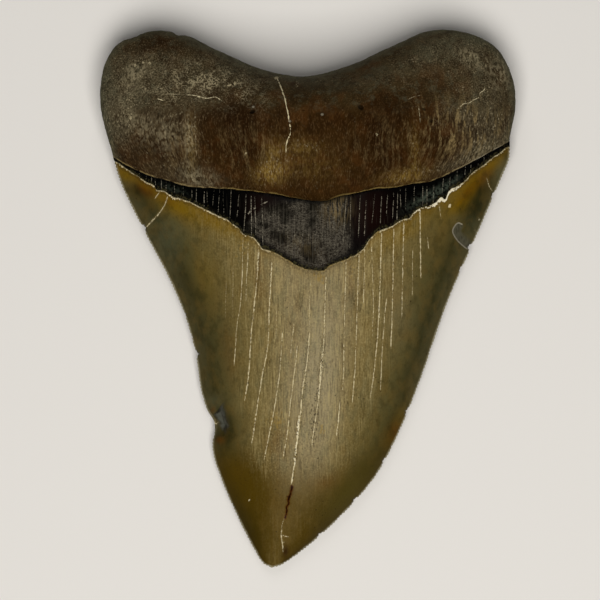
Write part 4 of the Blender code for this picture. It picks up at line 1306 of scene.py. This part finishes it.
def dull_patch(paint, patch, mottle, streaks):
    """The dull grey patch in the middle of the band: clouded, streaked and finely scratched, and a
    painted shadow along the band's top under the root's lip.
    """
    over_margin = paint.mark("over_margin")
    clouds = paint.patches(3.5, 0.35, 0.6, shift=8.0)
    paint.lay(patch, 0.9, "soot")
    shown = patch * paint.step(mottle, 0.38, 0.66) * paint.step(clouds, 0.0, 1.0, (0.2, 1.0))
    paint.lay(shown * paint.step(over_margin, -1.0, -7.0, (0.6, 1.0)), 0.85, "ash")
    paint.lay(patch * clouds, 0.12, "mauve")
    paint.lay(paint.mark("fawn") * paint.patches(0.3, 0.4, 0.58, stretch=8.0), 0.6, "fawn")
    paint.lay(patch * paint.step(streaks, 0.54, 0.64), 0.35, "ash")
    scratches = paint.threads(1.1, 0.03, stretch=0.3, detail=3.0, shift=47.0)
    paint.lay(patch * scratches * clouds, 0.28, "silver")
    paint.lay(patch * paint.step(streaks, 0.46, 0.36), 0.5, "soot")
    over = paint.shaken(paint.mark("over_enamel"), 0.9, 1.6, shift=5.0)
    paint.lay(paint.step(over, 1.4, 0.4), 0.8, "soot")
    crumbs = paint.crumbled(paint.step(over, 1.6, 0.0, (0.0, 0.6)), 0.5, shift=29.0)
    paint.lay(crumbs, 0.55, "olive_grey")
    # painted shadow: a black strip along the band's top, under the root's lip, deepening the band's own
    # black
    paint.lay(paint.step(over_margin, -0.9, -0.1), 0.7, "jet")


def band_material():
    """The glossy black band, with pale cracks and a dull grey patch in its middle."""
    paint = Paint("dark_band")
    paint.colour = TONES["jet"]
    patch, line = paint.mark("patch"), crack_line(paint, 0.08)
    streaks = paint.noise(0.3, stretch=16.0, detail=3.0)
    mottle = paint.noise(0.4, stretch=1.3, detail=3.0, rough=0.7, shift=3.0)
    paint.tint(wine=0.7)
    paint.lay(paint.step(streaks, 0.58, 0.75), 0.14, "ash")
    paint.lay(paint.mark("smoke") * paint.patches(0.6, 0.35, 0.62, shift=9.0), 0.7, "smoke")
    dull_patch(paint, patch, mottle, streaks)
    paint.lay(line, 0.65, "silver")
    paint.crust(0.7, "silver")
    matt = paint.step(patch, 0.0, 1.0, (0.35, 0.75))
    relief = streaks * 0.3 + mottle * paint.step(patch, 0.0, 1.0, (0.05, 0.6))
    return paint.finish(matt + line * 0.2, relief, depth=0.06, specular=0.015)


def bone_ground(paint, dust, crease):
    """Chestnut, dusty grey and umber in large patches, with ochre where the mesh is marked so, and a
    painted rim of light along the root's edge.
    """
    ochre = paint.mark("ochre")
    paint.colour = TONES["chestnut"]
    paint.lay(crease, 0.6, "drab")
    paint.lay(paint.patches(4.0, 0.48, 0.62, shift=35.0), 0.4, "russet")
    paint.lay(paint.patches(4.5, 0.42, 0.62, shift=5.0), 0.3, "umber")
    paint.lay(dust, 0.75, "dust")
    # grey-green spots and a soft band along the root's edge: partly a painted rim of light
    paint.tint(umber=0.85, moss=0.5)
    rim = paint.shaken(paint.mark("inset"), 1.6, 1.6, shift=46.0)
    paint.lay(paint.step(rim, 2.2, 0.3), 0.5, "moss")
    paint.lay(paint.patches(1.8, 0.46, 0.64, stretch=1.4, shift=33.0), 0.45, "umber")
    paint.lay(ochre, 0.6, "ochre")
    golden = paint.patches(0.5, 0.42, 0.62, stretch=2.4, detail=3.0, rough=0.65, shift=31.0)
    paint.lay(ochre * golden, 0.6, "gold")
    paint.lay(crease * paint.patches(2.2, 0.5, 0.62, detail=6.0, rough=0.75, shift=40.0), 0.3, "moss")


def bone_grain(paint, grain, strands, dust):
    """Pale specks and streaks and dark pits, most of them where the bone is dusty or ochre."""
    rich = (dust + paint.mark("ochre")) * 0.9 + 0.1
    rich = rich * paint.patches(2.4, 0.35, 0.6, (0.35, 1.0), shift=21.0)
    paint.lay(rich * paint.step(grain, 0.53, 0.65), 0.5, "bone_fleck")
    paint.lay(paint.step(grain, 0.52, 0.62) * (1.0 - dust), 0.1, "warm_fleck")
    paint.lay(paint.step(grain, 0.49, 0.38) * paint.step(dust, 0.0, 0.8, (0.3, 1.0)), 0.6, "pit")
    broad = paint.patches(0.85, 0.48, 0.6, stretch=6.0, detail=3.0, rough=0.6, shift=23.0,
                          place=strands)
    paint.lay(broad * paint.step(grain, 0.42, 0.58, (0.3, 1.0)) * paint.mark("streaky"), 1.0, "fawn")
    lace = paint.threads(0.9, 0.05, shift=24.0) * paint.patches(2.6, 0.42, 0.56, shift=25.0)
    paint.lay(lace * paint.mark("wormy"), 0.7, "bone_fleck")
    flecks = paint.patches(0.6, 0.42, 0.62, stretch=1.8, detail=3.0, shift=4.0)
    paint.lay(flecks * paint.mark("pale"), 0.5, "bone_fleck")
    specks = paint.dots(0.9, 0.1, 0.3) * paint.patches(2.0, 0.45, 0.6, shift=26.0)
    paint.lay(rich * specks, 0.7, "bone_fleck")


def bone_edges(paint, dust):
    """The painted rim light, the painted highlight along the lower lip, the holes, the knobs and the
    cracks of the bone.
    """
    hole = paint.mark("hole")
    # a thin painted rim of light along the bone's outline
    paint.lay(paint.step(paint.mark("inset"), 0.6, 0.1), 0.4, "moss")
    # painted highlight: the thin pale line along the root's lower lip, where it catches the light
    lip = paint.jagged(paint.mark("over_margin"), (0.5, 0.4), (3.0, 0.5), shift=6.0)
    kept = (1.0 - paint.mark("bare")) * paint.patches(1.6, 0.36, 0.5, shift=27.0)
    lip = paint.step(lip, 0.34, 0.08) * kept
    paint.lay(lip, 0.7, "sand")
    paint.lay(lip * dust, 0.8, "silver")
    paint.lay(paint.step(hole, 0.1, 0.5), 0.7, "pit")
    paint.lay(paint.step(hole, -0.08, -0.25), 0.5, "silver")
    paint.crust(0.8, "bone_fleck")
    paint.lay(crack_line(paint, 0.17), 0.85, "cream")


def bone_material():
    """The root's dull brown bone: speckled above the crease, and streaked below it."""
    paint = Paint("root_bone")
    dust, crease, strands = paint.mark("dust"), paint.mark("crease"), paint.strands()
    drawn_out = paint.noise(0.27, stretch=3.2, rough=0.7, place=strands)
    grain = drawn_out * (1.0 - crease) + paint.noise(0.3, rough=0.7, shift=2.0) * crease
    bone_ground(paint, dust, crease)
    bone_grain(paint, grain, strands, dust)
    bone_edges(paint, dust)
    relief = grain * 0.7 + paint.noise(0.25, shift=7.0) * 0.3
    return paint.finish(paint.step(grain, 0.3, 0.7, (0.6, 0.8)), relief, depth=0.12, specular=0.01)


# ---- The studio ----

CAMERA_AT = (-1.78, -0.16, 1500.0)
SENSOR, LENS = 36.0, 402.0
AIM = Vector((0.0, 0.0, 0.008))  # what the lights are turned to, in metres
LIGHT_COLOUR = (1.0, 0.965, 0.915)
# Square soft lights: name, place and side in metres, power in watts.
SOFTBOXES = [("key", (0.02, -0.3, 0.85), 0.6, 7.9), ("fill", (-0.1, 0.7, 0.75), 0.6, 1.6)]
SKY_COLOUR, SKY_STRENGTH = (0.9, 0.95, 1.0, 1.0), 0.035
FLOOR_HALF = 1.5  # in metres
FLOOR_COLOUR, FLOOR_ROUGHNESS = (0.78, 0.77, 0.75, 1.0), 0.8


def floor():
    """The plain pale floor that the tooth lies on."""
    mesh = bpy.data.meshes.new("floor")
    sides = ((-1, -1), (1, -1), (1, 1), (-1, 1))
    mesh.from_pydata([(x * FLOOR_HALF, y * FLOOR_HALF, 0.0) for x, y in sides], [], [(0, 1, 2, 3)])
    material = bpy.data.materials.new("floor")
    material.use_nodes = True
    shader = material.node_tree.nodes["Principled BSDF"]
    shader.inputs["Base Color"].default_value = FLOOR_COLOUR
    shader.inputs["Roughness"].default_value = FLOOR_ROUGHNESS
    mesh.materials.append(material)
    link("floor", mesh)


def softbox(name, place, size, power):
    """A square soft light, turned to the tooth."""
    light = bpy.data.lights.new(name, "AREA")
    light.size = size
    light.energy = power
    light.color = LIGHT_COLOUR
    obj = link(name, light)
    obj.location = place
    obj.rotation_euler = (AIM - Vector(place)).to_track_quat("-Z", "Y").to_euler()


def studio():
    """The floor, the lights and the camera that looks straight down."""
    floor()
    for box in SOFTBOXES:
        softbox(*box)
    world = bpy.data.worlds.new("studio")
    world.use_nodes = True
    sky = world.node_tree.nodes["Background"]
    sky.inputs["Color"].default_value = SKY_COLOUR
    sky.inputs["Strength"].default_value = SKY_STRENGTH
    bpy.context.scene.world = world
    bpy.context.scene.view_settings.view_transform = "Standard"
    camera = link("camera", bpy.data.cameras.new("camera"))
    camera.location = Vector(CAMERA_AT) * MM
    camera.data.sensor_width = SENSOR
    camera.data.lens = LENS
    bpy.context.scene.camera = camera


def main():
    """The tooth in place of its solid, in the studio."""
    tooth = tooth_piece()
    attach(tooth, "root")
    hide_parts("tooth")
    studio()


def corners(box):
    """A box's lowest and highest corners as plain lists."""
    return [list(corner) for corner in box]


main()
